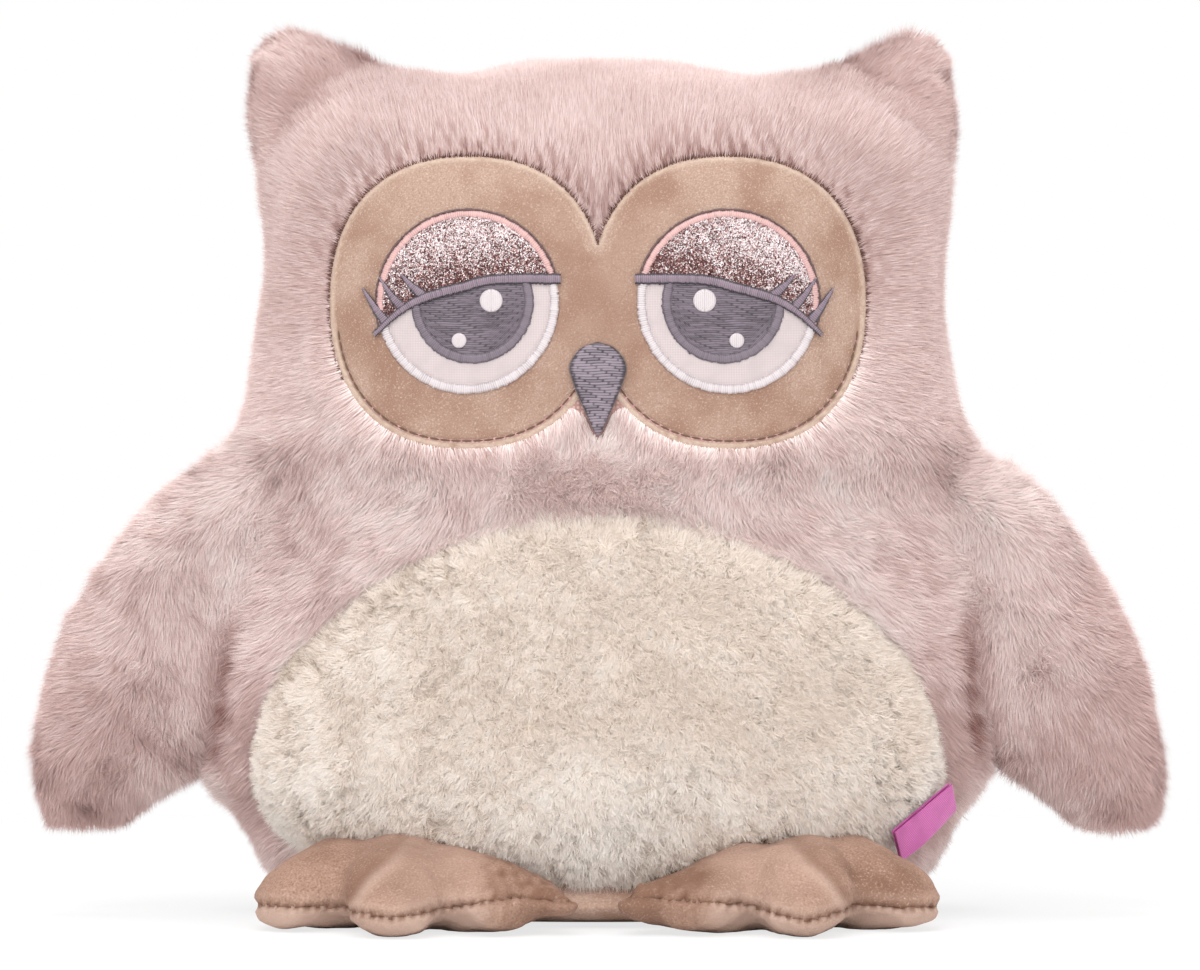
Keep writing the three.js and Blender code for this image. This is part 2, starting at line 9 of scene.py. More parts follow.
import json
import logging
import math
from collections.abc import Callable, Sequence
from dataclasses import dataclass
from enum import Enum
from functools import cache

import bmesh
import bpy
import numpy as np
from bmesh.types import BMesh, BMVert
from bpy.types import ID, Material, Mesh, Node, NodeSocket, NodeTree, Object
from mathutils import Matrix, Vector
from mathutils.bvhtree import BVHTree


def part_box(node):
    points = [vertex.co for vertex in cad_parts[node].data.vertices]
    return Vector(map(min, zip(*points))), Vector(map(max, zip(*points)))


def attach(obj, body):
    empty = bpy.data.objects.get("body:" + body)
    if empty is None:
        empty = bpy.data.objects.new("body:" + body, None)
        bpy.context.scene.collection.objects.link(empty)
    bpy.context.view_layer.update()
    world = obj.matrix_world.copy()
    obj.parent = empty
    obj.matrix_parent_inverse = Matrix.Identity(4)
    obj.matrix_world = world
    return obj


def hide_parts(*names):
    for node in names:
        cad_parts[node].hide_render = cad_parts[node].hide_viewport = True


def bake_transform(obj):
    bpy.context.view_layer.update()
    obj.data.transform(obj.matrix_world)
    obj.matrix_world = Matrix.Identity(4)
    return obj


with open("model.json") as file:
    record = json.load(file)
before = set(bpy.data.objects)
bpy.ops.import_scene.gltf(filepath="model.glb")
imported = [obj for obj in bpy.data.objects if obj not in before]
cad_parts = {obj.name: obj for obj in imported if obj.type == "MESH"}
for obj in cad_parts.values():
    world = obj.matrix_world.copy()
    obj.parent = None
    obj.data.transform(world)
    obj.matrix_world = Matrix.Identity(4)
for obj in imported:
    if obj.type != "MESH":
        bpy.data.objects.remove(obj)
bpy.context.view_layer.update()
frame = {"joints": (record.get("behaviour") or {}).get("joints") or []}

MM = 0.001
PER_MM2 = 1e6
# How far each row of a stitched fill is shifted against the one below
STITCH_STAGGER = 1.37 * MM
BAKE_MAP = "OFBake"
SIMULATED_FRAMES = 20
UP = Vector((0, 0, 1))
FRONT = Vector((0, -1, 0))
log = logging.getLogger("owl")

Array = np.ndarray
Field = Callable[[Array], Array]
Place = Callable[[Array, Array], Array]


class Side(Enum):
    """A side of the owl, as the sign of its X."""

    LEFT = -1
    RIGHT = 1

    @property
    def label(self) -> str:
        """The side's word in the names of pieces and bodies."""
        return self.name.lower()


class Fill(Enum):
    """How tightly a padded piece is stuffed, from 0, slack, to 1, tight."""

    PLUMP = 0.7
    PELLETS = 0.55


# Numbers, curves and meshes


def smoothstep(low: float, high: float, value: Array) -> Array:
    """Go smoothly from 0 at low to 1 at high, and no farther."""
    share = np.clip((value - low) / (high - low), 0, 1)
    return share * share * (3 - 2 * share)


def bump(value: Array, middle: float, width: float) -> Array:
    """Return a bell curve of height 1 about a middle."""
    return np.exp(-(((value - middle) / width) ** 2))


def ramp(low: float, high: float, value: Array) -> Array:
    """Go smoothly from 0 at low to 1 at high, both given in millimetres."""
    return smoothstep(low * MM, high * MM, value)


def bell(value: Array, middle: float, width: float) -> Array:
    """Return a bell curve of height 1, its middle and width given in millimetres."""
    return bump(value, middle * MM, width * MM)


def signed_power(value: Array, power: float) -> Array:
    """Raise the size of a value to a power and keep its sign."""
    return np.sign(value) * np.abs(value) ** power


def spline(rows: Array, at: Array) -> Array:
    """Run a Catmull-Rom curve through rows of values.

    Args:
        rows: The rows, one for each whole number from 0.
        at: Where on the curve to read it.

    Returns:
        The columns of the rows, read at each place.
    """
    last = len(rows) - 1
    at = np.clip(at, 0, last - 1e-9)
    index = at.astype(int)
    t = (at - index)[:, None]
    a, b, c, d = (rows[np.clip(index + step, 0, last)] for step in (-1, 0, 1, 2))
    curve = 2 * b + (c - a) * t + (2 * a - 5 * b + 4 * c - d) * t**2 + (3 * b - a - 3 * c + d) * t**3
    return (curve / 2).T


def unit(vectors: Array) -> Array:
    """Return the vectors at length 1."""
    return vectors / np.maximum(np.linalg.norm(vectors, axis=1, keepdims=True), 1e-12)


def across_surface(vectors: Array, normals: Array) -> Array:
    """Return the part of each vector that lies in the surface with that normal."""
    return vectors - normals * np.sum(vectors * normals, axis=1, keepdims=True)


def waves(points: Array, size: float, seed: int) -> Array:
    """Give soft random swells, as stuffing pushes cloth out unevenly.

    Args:
        points: Where to read them.
        size: The rough distance between two swells.
        seed: Picks the swells.

    Returns:
        Heights from about -1 to 1.
    """
    luck = np.random.default_rng(seed)
    total = np.zeros(len(points))
    count = 9
    for _ in range(count):
        direction = luck.normal(size=3)
        direction *= 2 * math.pi * luck.uniform(0.6, 1.6) / (size * np.linalg.norm(direction))
        total += np.sin(points @ direction + luck.uniform(0, 2 * math.pi))
    return total / math.sqrt(count)


def coordinates(mesh: Mesh) -> Array:
    """Return the places of a mesh's vertices."""
    return read_attribute(mesh.vertices, "co", 3)


def surface_of(mesh: Mesh) -> tuple[Array, Array]:
    """Return the places and the normals of a mesh's vertices."""
    return coordinates(mesh), read_attribute(mesh.vertices, "normal", 3)


def reshape(mesh: Mesh, points: Array) -> None:
    """Move a mesh's vertices to new places."""
    mesh.vertices.foreach_set("co", points.astype(np.float32).ravel())
    mesh.update()


def read_attribute(data: bpy.types.bpy_prop_collection, key: str, width: int) -> Array:
    """Read one value of every entry of a Blender list.

    Args:
        data: The list.
        key: The value's name.
        width: How many numbers each value has.

    Returns:
        An array with a row for each entry, or a plain list of numbers where the width is 1.
    """
    values = np.zeros(len(data) * width, np.float32)
    data.foreach_get(key, values)
    return values.astype(float) if width == 1 else values.reshape(-1, width).astype(float)


def put_attribute(mesh: Mesh, name: str, values: Array) -> None:
    """Store a number or a vector for each vertex under a name."""
    vector = values.ndim == 2
    attribute = mesh.attributes.new(name, "FLOAT_VECTOR" if vector else "FLOAT", "POINT")
    attribute.data.foreach_set("vector" if vector else "value", values.astype(np.float32).ravel())


def points_of(bm: BMesh, value: str = "co") -> Array:
    """Return the places of a bmesh's vertices, or their normals."""
    return np.array([getattr(vertex, value) for vertex in bm.verts])


def place_vertices(bm: BMesh, places: Array) -> None:
    """Move a bmesh's vertices to new places."""
    for vertex, place in zip(bm.verts, places):
        vertex.co = place


def wrapped_sphere(segments: int, rings: int, place: Place) -> BMesh:
    """Make a sphere and pull it over a closed form.

    Args:
        segments: Faces round the form.
        rings: Faces from its foot to its crown.
        place: Gives the places for turns in radians and heights from 0 to 1.

    Returns:
        The bmesh, its faces pointing out.
    """
    bm = bmesh.new()
    bmesh.ops.create_uvsphere(bm, u_segments=segments, v_segments=rings, radius=1)
    points = points_of(bm)
    turn = np.arctan2(points[:, 1], points[:, 0])
    height = 1 - np.arccos(np.clip(points[:, 2], -1, 1)) / math.pi
    place_vertices(bm, place(turn, height))
    bm.normal_update()
    bmesh.ops.recalc_face_normals(bm, faces=bm.faces)
    return bm


def wrapped_grid(columns: int, rows: int, place: Place, facing: Vector | None = None) -> BMesh:
    """Make a grid and lay it over a surface; edges that meet there are sewn together.

    Args:
        columns: Faces along u.
        rows: Faces along v.
        place: Gives the places for u and v, each from 0 to 1.
        facing: The side that an open sheet faces, or None for a closed form.

    Returns:
        The bmesh.
    """
    bm = bmesh.new()
    bmesh.ops.create_grid(bm, x_segments=columns, y_segments=rows, size=0.5)
    points = points_of(bm)
    place_vertices(bm, place(points[:, 0] + 0.5, points[:, 1] + 0.5))
    bmesh.ops.remove_doubles(bm, verts=bm.verts, dist=0.003 * MM)
    bmesh.ops.dissolve_degenerate(bm, edges=bm.edges, dist=0.001 * MM)
    bm.normal_update()
    bmesh.ops.recalc_face_normals(bm, faces=bm.faces)
    if facing is not None:
        face_towards(bm, facing)
    return bm


def face_towards(bm: BMesh, facing: Vector) -> None:
    """Turn an open sheet's faces so that most of them look one way."""
    bm.normal_update()
    total = sum((face.normal * face.calc_area() for face in bm.faces), Vector())
    if total.dot(facing) < 0:
        bmesh.ops.reverse_faces(bm, faces=bm.faces)


def finished_mesh(bm: BMesh, name: str) -> Mesh:
    """Turn a bmesh into a smooth-shaded mesh and free it."""
    mesh = bpy.data.meshes.new(name)
    bm.to_mesh(mesh)
    bm.free()
    mesh.shade_smooth()
    return mesh


def add_object(name: str, data: ID) -> Object:
    """Put a mesh, a light or a camera in the scene at the origin."""
    piece = bpy.data.objects.new(name, data)
    bpy.context.scene.collection.objects.link(piece)
    return piece


def add_piece(name: str, bm: BMesh) -> Object:
    """Put a bmesh in the scene at the origin, with smooth shading."""
    return add_object(name, finished_mesh(bm, name))


def opened(mesh: Mesh) -> BMesh:
    """Copy a mesh into a new bmesh."""
    bm = bmesh.new()
    bm.from_mesh(mesh)
    return bm


def middles(bm: BMesh) -> Array:
    """Return the centres of a bmesh's faces."""
    return np.array([face.calc_center_median() for face in bm.faces])


def keep_faces(bm: BMesh, keep: Array) -> BMesh:
    """Delete the faces that aren't marked to stay, and return the bmesh."""
    bmesh.ops.delete(bm, geom=[face for face, stays in zip(bm.faces, keep) if not stays], context="FACES")
    return bm


def applied(piece: Object) -> Object:
    """Apply a piece's modifiers and return it."""
    graph = bpy.context.evaluated_depsgraph_get()
    final = piece.evaluated_get(graph)
    mesh = bpy.data.meshes.new_from_object(final, preserve_all_data_layers=True, depsgraph=graph)
    piece.modifiers.clear()
    old = piece.data
    piece.data = mesh
    bpy.data.meshes.remove(old)
    return piece


def add_thickness(piece: Object, thickness: float) -> None:
    """Give a sheet its thickness, inwards from its outer face."""
    modifier = piece.modifiers.new("cloth thickness", "SOLIDIFY")
    modifier.thickness = thickness
    modifier.offset = -1


# Node trees


def add_node(
    tree: NodeTree, kind: str, inputs: dict[str | int, object] | None = None, **settings: object
) -> Node:
    """Add a node with its settings and links.

    Args:
        tree: The tree that gets the node.
        kind: The node's type.
        inputs: Values for its sockets, or the sockets that feed them.
        **settings: Its properties.

    Returns:
        The node.
    """
    node = tree.nodes.new(kind)
    for name, value in settings.items():
        setattr(node, name, value)
    for key, value in (inputs or {}).items():
        if isinstance(value, NodeSocket):
            tree.links.new(value, node.inputs[key])
        else:
            node.inputs[key].default_value = value
    return node


def colour(code: str) -> tuple[float, float, float, float]:
    """Turn an sRGB hex code into a linear colour."""
    channels = [int(code[i : i + 2], 16) / 255 for i in (1, 3, 5)]
    linear = [c / 12.92 if c <= 0.04045 else ((c + 0.055) / 1.055) ** 2.4 for c in channels]
    return (*linear, 1.0)


MIX_A, MIX_B, MIX_RESULT = 6, 7, 2


def mixed(tree: NodeTree, share: object, first: object, second: object) -> NodeSocket:
    """Mix two colours by a share and return the socket with the result."""
    node = add_node(tree, "ShaderNodeMix", {0: share, MIX_A: first, MIX_B: second}, data_type="RGBA")
    return node.outputs[MIX_RESULT]


def spread(tree: NodeTree, value: object, low: float, high: float) -> NodeSocket:
    """Map the stretch from low to high onto 0 to 1, clamped."""
    inputs = {"Value": value, "From Min": low, "From Max": high}
    return add_node(tree, "ShaderNodeMapRange", inputs, interpolation_type="SMOOTHSTEP").outputs["Result"]


def noise(tree: NodeTree, size: float, detail: float = 2) -> NodeSocket:
    """Add noise whose blotches are about one size, on the piece's own coordinates."""
    place = add_node(tree, "ShaderNodeTexCoord").outputs["Object"]
    inputs = {"Vector": place, "Scale": 1 / size, "Detail": detail}
    return add_node(tree, "ShaderNodeTexNoise", inputs, noise_dimensions="3D").outputs["Fac"]


def attribute(tree: NodeTree, name: str) -> NodeSocket:
    """Read a piece's own attribute."""
    return add_node(tree, "ShaderNodeAttribute", attribute_name=name).outputs["Fac"]


def new_material(name: str) -> tuple[Material, NodeTree]:
    """Make an empty material with its node tree."""
    material = bpy.data.materials.new(name)
    material.use_nodes = True
    material.node_tree.nodes.clear()
    return material, material.node_tree


def close_surface(
    tree: NodeTree, base: NodeSocket, roughness: float, specular: float, sheen: float, more: dict[str, object]
) -> None:
    """Feed a Principled surface, more being its other sockets, and join it to the material's output."""
    inputs = {"Base Color": base, "Roughness": roughness, "Specular IOR Level": specular}
    surface = add_node(tree, "ShaderNodeBsdfPrincipled", inputs | {"Sheen Weight": sheen} | more)
    add_node(tree, "ShaderNodeOutputMaterial", {"Surface": surface.outputs[0]})


def bumped(tree: NodeTree, height: object, distance: float, strength: float = 1) -> NodeSocket:
    """Turn a height field into a normal."""
    inputs = {"Height": height, "Distance": distance, "Strength": strength}
    return add_node(tree, "ShaderNodeBump", inputs).outputs["Normal"]


# Finishes


@dataclass(frozen=True)
class FurFinish:
    """Acrylic fur pile: matt strands, darker where they leave the knit as a painted shade of the pile's
    depth, each with its own shade.
    """

    name: str
    slot: str
    root: str
    tip: str
    # shade and light: darker and paler strands, both random ones and ones where shade or light is painted
    shade: str
    light: str
    # deep: the colour of painted shadow in creases, in partings and along the feet's tops
    deep: str
    sheen: float = 0.06
    roughness: float = 0.9

    def material(self) -> Material:
        """Make the material. Strands brighten from root to tip and clumps drift in tone; the fur_shade
        attribute also carries painted shade and light, and above 1.2 the deep colour's painted shadow.
        """
        material, tree = new_material(self.name)
        along = spread(tree, attribute(tree, "fur_along"), 0.0, 0.75)
        strand = mixed(tree, along, colour(self.root), colour(self.tip))
        shade = spread(tree, attribute(tree, "fur_shade"), 0.5, 1.0)
        light = spread(tree, attribute(tree, "fur_shade"), 0.5, 0.0)
        toned = mixed(tree, light, mixed(tree, shade, strand, colour(self.shade)), colour(self.light))
        # Painted shadow: the deep colour where the fur_shade attribute passes 1.2
        deep = spread(tree, attribute(tree, "fur_shade"), 1.2, 2.2)
        base = mixed(tree, deep, toned, colour(self.deep))
        close_surface(tree, base, self.roughness, 0.12, self.sheen, {"Sheen Tint": colour(self.light)})
        return material


@dataclass(frozen=True)
class VelourFinish:
    """Cut-pile velour: a soft matt cloth whose nap lies in paler and darker patches."""

    name: str
    slot: str
    base: str
    dark: str
    rim: str
    speck: float = 0.45 * MM
    patch: float = 15 * MM

    def material(self) -> Material:
        """Make the material. The specks are nap ends, drawn coarser than they are so that they show. The rim
        attribute pales the cloth, in places a painted highlight, and the crease attribute darkens it, in
        places painted shade.
        """
        material, tree = new_material(self.name)
        specks = noise(tree, self.speck, 3)
        patches = noise(tree, self.patch, 2)
        nap = mixed(tree, spread(tree, patches, 0.35, 0.72), colour(self.base), colour(self.dark))
        speckled = mixed(tree, spread(tree, specks, 0.45, 0.85), nap, colour(self.dark))
        lit = mixed(tree, spread(tree, specks, 0.50, 0.10), speckled, colour(self.rim))
        # Paler rims, in places a painted highlight; darker creases, in places painted shade
        rim_pale_and_lit = mixed(tree, attribute(tree, "rim"), lit, colour(self.rim))
        creased = mixed(tree, attribute(tree, "crease"), rim_pale_and_lit, colour(self.dark))
        normal = bumped(tree, specks, 0.35 * MM, 0.8)
        more = {"Sheen Roughness": 0.4, "Sheen Tint": colour(self.rim), "Normal": normal}
        close_surface(tree, creased, 0.95, 0.15, 0.2, more)
        return material


@dataclass(frozen=True)
class ThreadFinish:
    """Rayon embroidery thread: smooth and glossy along its crests, with painted shade between the threads."""

    name: str
    slot: str
    crest: str
    # valley: the colour of the painted shade between threads
    valley: str
    roughness: float = 0.42

    def material(self) -> Material:
        """Make the material. The thread attribute is 0 between threads, where shade is painted, and 1 on
        their crests.
        """
        material, tree = new_material(self.name)
        fibre = noise(tree, 0.3 * MM, 2)
        share = spread(tree, attribute(tree, "thread"), 0.0, 1.0)
        thread = mixed(tree, share, colour(self.valley), colour(self.crest))
        close_surface(tree, thread, self.roughness, 0.5, 0.2, {"Normal": bumped(tree, fibre, 0.06 * MM, 0.5)})
        return material


@dataclass(frozen=True)
class WovenFinish:
    """Woven cloth or tape: fine crossing threads, glossy where they float as in satin."""

    name: str
    slot: str
    base: str
    dark: str
    pitch: float = 0.5 * MM
    roughness: float = 0.6
    sheen: float = 0.2
    turn: float = 0.0

    def material(self) -> Material:
        """Make the material. Two sets of waves at right angles are the warp and the weft."""
        material, tree = new_material(self.name)
        place = add_node(tree, "ShaderNodeTexCoord").outputs["Object"]
        inputs = {"Vector": place, "Rotation": (0, self.turn, 0)}
        turned = add_node(tree, "ShaderNodeMapping", inputs).outputs[0]
        weave = None
        for direction in ("X", "Z"):
            settings = {"wave_type": "BANDS", "bands_direction": direction, "wave_profile": "SIN"}
            scale = math.pi / (10 * self.pitch)
            inputs = {"Vector": turned, "Scale": scale, "Distortion": 0.4, "Detail": 1.0}
            wave = add_node(tree, "ShaderNodeTexWave", inputs, **settings).outputs["Fac"]
            if weave is None:
                weave = wave
            else:
                weave = add_node(tree, "ShaderNodeMath", {0: weave, 1: wave}, operation="MULTIPLY").outputs[0]
        tone = mixed(tree, spread(tree, weave, 0.0, 0.6), colour(self.dark), colour(self.base))
        soft = mixed(tree, spread(tree, noise(tree, 6 * MM), 0.4, 0.75), tone, colour(self.dark))
        more = {"Normal": bumped(tree, weave, 0.08 * MM, 0.6)}
        close_surface(tree, soft, self.roughness, 0.4, self.sheen, more)
        return material


@dataclass(frozen=True)
class GlitterFinish:
    """Glitter flakes: mirror-bright rose film, darkened to red-brown by the lid's edge and paled towards its
    top as painted shade and highlight, with pale painted glints.
    """

    name: str
    slot: str
    pale: str
    rose: str
    dark: str

    def material(self) -> Material:
        """Make the material. The flake attribute picks each flake's colour, painted glints and highlight
        included.
        """
        material, tree = new_material(self.name)
        flake = attribute(tree, "flake")
        warm = mixed(tree, spread(tree, flake, 0.30, 0.50), colour(self.dark), colour(self.rose))
        bright = mixed(tree, spread(tree, flake, 0.52, 0.70), warm, colour(self.pale))
        close_surface(tree, bright, 0.35, 0.6, 0.0, {"Metallic": 0.35})
        return material


@dataclass(frozen=True)
class FibreFinish:
    """Loose polyester stuffing or plain cotton: white, soft and cloudy."""

    name: str
    slot: str
    base: str
    dark: str

    def material(self) -> Material:
        """Make the material. Stretched noise gives the run of the fibres."""
        material, tree = new_material(self.name)
        fibres = noise(tree, 1.2 * MM, 5)
        tone = mixed(tree, spread(tree, fibres, 0.35, 0.65), colour(self.dark), colour(self.base))
        close_surface(tree, tone, 0.95, 0.5, 0.3, {"Normal": bumped(tree, fibres, 0.6 * MM)})
        return material


PINK_FUR = FurFinish("pink fur pile", "pink_fur", "#F8E9E6", "#EFDCD8", "#D0B2AD", "#F6EFEC", "#8F625B")
CREAM_FUR = FurFinish("cream wool pile", "cream_fur", "#FBF1E8", "#F8EDE4", "#E2D3C5", "#FFFAF4", "#7A5A4C")
# The pink knit is darker than the fur: painted shade for the gaps and partings where it shows
PINK_KNIT = WovenFinish("pink knit backing", "pink_fur", "#CDA8A1", "#AC857E", 1.2 * MM, 0.9)
CREAM_KNIT = WovenFinish("cream knit backing", "cream_fur", "#F4EADD", "#DCCFBF", 1.2 * MM, 0.9)
TAN_VELOUR = VelourFinish("tan velour", "tan_velour", "#B19586", "#987766", "#D8C3B2")
FOOT_VELOUR = VelourFinish(
    "rose-tan velour", "foot_velour", "#A68574", "#7B5A49", "#C4A99B", 0.6 * MM, 22 * MM)
# The base is the feet's velour made paler: painted light against the shade under the bag
BASE_CLOTH = VelourFinish("rose-tan base velour", "foot_velour", "#D2B5A5", "#A98775", "#E0CABD", 0.6 * MM)
MAUVE_THREAD = ThreadFinish("mauve satin stitch", "mauve_thread", "#8A7885", "#2B212B")
DARK_FILL = ThreadFinish("mauve fill stitch", "mauve_thread", "#776B76", "#392F37")
BEAK_FILL = ThreadFinish("mauve beak stitch", "mauve_thread", "#8D808B", "#332A34")
WHITE_THREAD = ThreadFinish("white satin stitch", "white_satin", "#D4CACC", "#918689")
PINK_THREAD = ThreadFinish("pink satin stitch", "pink_satin", "#D2A8A4", "#94706F")
# A thin dark brown line round the lid's border: partly its stitch line, partly painted shadow where the
# border meets the mask
EDGE_STITCH_AND_SHADOW_THREAD = ThreadFinish("dark brown edging", "pink_satin", "#5E4543", "#35211F", 0.6)
SEAM_THREAD = ThreadFinish("brown seam thread", "tan_velour", "#7A5A45", "#4F3828", 0.7)
WHITE_SATIN = WovenFinish("white satin cloth", "white_satin", "#D3C6C4", "#BFB1B2", 0.45 * MM, 0.45)
LID_CLOTH = WovenFinish("glitter ground cloth", "glitter_cloth", "#8E615E", "#5C3836", 0.6 * MM, 0.6)
GLITTER = GlitterFinish("rose glitter flakes", "glitter_cloth", "#F4E8E9", "#BC8884", "#5C3431")
# Dark strands at the mask's upper edge: painted shadow between the fur's tips and the mask
NEEDLE_SHADOWS = FurFinish("shaded fur edge", "pink_fur", "#5E4540", "#7C5C56", "#4C3733", "#A07C75", "#4C3733", 0.0)
RIBBON = WovenFinish("pink satin ribbon", "ribbon", "#E070BC", "#B84F97", 0.5 * MM, 0.35, 0.3, 0.7)
STUFFING = FibreFinish("polyester stuffing", "stuffing", "#F6F4F0", "#D8D5CF")
POUCH_CLOTH = FibreFinish("cotton pouch cloth", "pouch_cloth", "#EAE6DC", "#CFCABE")

Finish = FurFinish | VelourFinish | ThreadFinish | WovenFinish | GlitterFinish | FibreFinish


@cache
def material_of(finish: Finish) -> Material:
    """Make each finish's material once."""
    return finish.material()


def dress(
    piece: Object,
    finish: Finish,
    body: str,
    nodes: Sequence[str] = (),
    fill: Fill | None = None,
) -> Object:
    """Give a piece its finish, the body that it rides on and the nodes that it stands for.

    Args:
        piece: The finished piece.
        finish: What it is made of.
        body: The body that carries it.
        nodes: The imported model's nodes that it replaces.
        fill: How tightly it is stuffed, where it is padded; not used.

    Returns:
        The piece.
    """
    piece.data.materials.clear()
    piece.data.materials.append(material_of(finish))
    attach(piece, body)
    if nodes:
        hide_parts(*nodes)
    log.info("%s: %d faces, rides on %s", piece.name, len(piece.data.polygons), body)
    return piece


def lay_out(
    piece: Object, flat: tuple[float, float]
) -> None:
    """Log the area of a sheet of cloth, and the rectangle that it was cut from.

    Args:
        piece: The sheet, one ply without its thickness.
        flat: The width and length of the rectangle that it was cut from.
    """
    area = float(read_attribute(piece.data.polygons, "area", 1).sum())
    width, height = flat[0] / MM, flat[1] / MM
    log.info("%s: %.0f mm2 of cloth from %.0f x %.0f mm", piece.name, area / MM**2, width, height)


# Forms


def box_of(*nodes: str) -> tuple[Vector, Vector]:
    """Return the lowest and highest corner of several nodes together."""
    boxes = [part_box(node) for node in nodes]
    low = Vector([min(box[0][axis] for box in boxes) for axis in range(3)])
    high = Vector([max(box[1][axis] for box in boxes) for axis in range(3)])
    return low, high


@dataclass
class BagForm:
    """The bag of head and body, as the surface of its fur."""

    half_width: float
    front_depth: float
    back_depth: float
    height: float
    roundness: float = 2.2
    # Height, half width, front depth and back depth, floor to crown
    level_shares: tuple[tuple[float, float, float, float], ...] = (
        (0, 0, 0, 0), (0, 0.64, 0.62, 0.70), (0.017, 0.77, 0.75, 0.82), (0.05, 0.86, 0.85, 0.90),
        (0.10, 0.93, 0.93, 0.96), (0.165, 1.0, 0.985, 1.0), (0.26, 0.99, 1.0, 1.0), (0.37, 0.965, 0.98, 0.98),
        (0.47, 0.94, 0.91, 0.94), (0.555, 0.92, 0.85, 0.90), (0.64, 0.905, 0.87, 0.91),
        (0.74, 0.885, 0.885, 0.92), (0.835, 0.875, 0.83, 0.88), (0.895, 0.85, 0.71, 0.77),
        (0.94, 0.77, 0.565, 0.62),
        (0.968, 0.655, 0.44, 0.48), (0.985, 0.49, 0.31, 0.34), (0.996, 0.28, 0.18, 0.19), (1, 0, 0, 0),
    )

    def sizes(self, level: Array, inset: float | Array) -> tuple[Array, ...]:
        """Read the bag at levels of its table.

        Args:
            level: Places in the table, from 0 at the floor.
            inset: The depth below the fur's surface.

        Returns:
            Height, half width, front depth and back depth.
        """
        height, width, front, back = spline(np.array(self.level_shares), level)
        crown = self.height - inset
        return (
            np.clip(height, 0, 1) * (crown - inset) + inset,
            (self.half_width - inset) * np.maximum(width, 0),
            (self.front_depth - inset) * np.maximum(front, 0),
            (self.back_depth - inset) * np.maximum(back, 0),
        )

    def surface(self, turn: Array, height: Array, inset: float) -> Array:
        """Give places on the bag for turns in radians and heights from 0 to 1."""
        z, width, front, back = self.sizes(height * (len(self.level_shares) - 1), inset)
        across = signed_power(np.cos(turn), 2 / self.roundness)
        along = signed_power(np.sin(turn), 2 / self.roundness)
        return np.column_stack((width * across, np.where(along < 0, front, back) * along, z))

    def profile(self) -> tuple[Array, ...]:
        """Read the bag's surface at even steps of its table."""
        return self.sizes(np.linspace(1.02, len(self.level_shares) - 1.02, 700), 0.0)

    def edge(self, height: float) -> float:
        """Return half the bag's width at a height."""
        heights, widths, _, _ = self.profile()
        return float(np.interp(height, heights, widths))

    def front(self, x: Array, z: Array, inset: float | Array) -> Array:
        """Give places on the bag's front for an X and a height."""
        z_table, width, front, _ = self.profile()
        w = np.interp(z, z_table, width) - inset
        d = np.interp(z, z_table, front) - inset
        share = np.clip(np.abs(x / w), 0, 0.9999)
        return np.column_stack((x, -d * (1 - share**self.roundness) ** (1 / self.roundness), z))


@dataclass
class LimbForm:
    """A limb that swells and tapers: ellipses along a line, with a round cap at each end."""

    centres: Array
    across: Array
    ups: Array
    start: Array
    end: Array
    cap_share: float = 0.2

    def surface(self, turn: Array, height: Array, inset: float) -> Array:
        """Give places on the limb for turns in radians and heights from 0 to 1."""
        last = len(self.centres) - 1
        level = (height - self.cap_share) / (1 - 2 * self.cap_share) * last
        rows = np.hstack((self.centres, self.across, self.ups))
        read = spline(rows, np.clip(level, 0, last)).T
        centre, across, up = read[:, :3], read[:, 3:6], read[:, 6:]
        first_cap = np.clip((self.cap_share - height) / self.cap_share, 0, 1) * math.pi / 2
        last_cap = np.clip((height - 1 + self.cap_share) / self.cap_share, 0, 1) * math.pi / 2
        size = (np.cos(first_cap) * np.cos(last_cap))[:, None]
        for cap, tip in ((first_cap, self.start), (last_cap, self.end)):
            reach = np.linalg.norm(tip - centre, axis=1, keepdims=True)
            step = (tip - centre) * np.maximum(1 - inset / np.maximum(reach, inset + 1e-6), 0)
            centre = centre + step * np.sin(cap)[:, None]
        half_across, half_up = (
            unit(half) * np.maximum(np.linalg.norm(half, axis=1, keepdims=True) - inset, 0.2 * MM)
            for half in (across, up)
        )
        round_about = half_across * np.cos(turn)[:, None] + half_up * np.sin(turn)[:, None]
        return centre + round_about * size


def limb_between(place: Callable[[float, float], Vector], rows: Sequence[Sequence[float]], thickness: float,
                 start: Vector, end: Vector) -> LimbForm:
    """Build a flat limb from the two edges of its outline seen from the front.

    Args:
        place: Gives a point for shares of the limb's box.
        rows: Inner x, inner height, outer x, outer height, thickness and how far forward, as shares.
        thickness: The limb's full thickness, and twice how far forward its root stands.
        start: The tip at the root.
        end: The far tip.

    Returns:
        The limb's form.
    """
    inner = np.array([place(row[0], row[1]) for row in rows])
    outer = np.array([place(row[2], row[3]) for row in rows])
    ups = np.array([(0, row[4] * thickness / 2, 0) for row in rows])
    centres = (inner + outer) / 2
    centres[:, 1] -= np.array([row[5] for row in rows]) * thickness / 2
    return LimbForm(centres, (outer - inner) / 2, ups, np.array(start), np.array(end))


# Fur


@dataclass(frozen=True)
class Pile:
    """One kind of pile: how long and dense it is, and how it was brushed."""

    length: float
    width: float
    density: float
    lay: float
    patch_pull: float
    clump_pull: float
    stray_pull: float
    patch: float = 26 * MM
    clump: float = 5.5 * MM
    spread: float = 0.35
    stand: float = 0.2
    blotch: float = 1.0


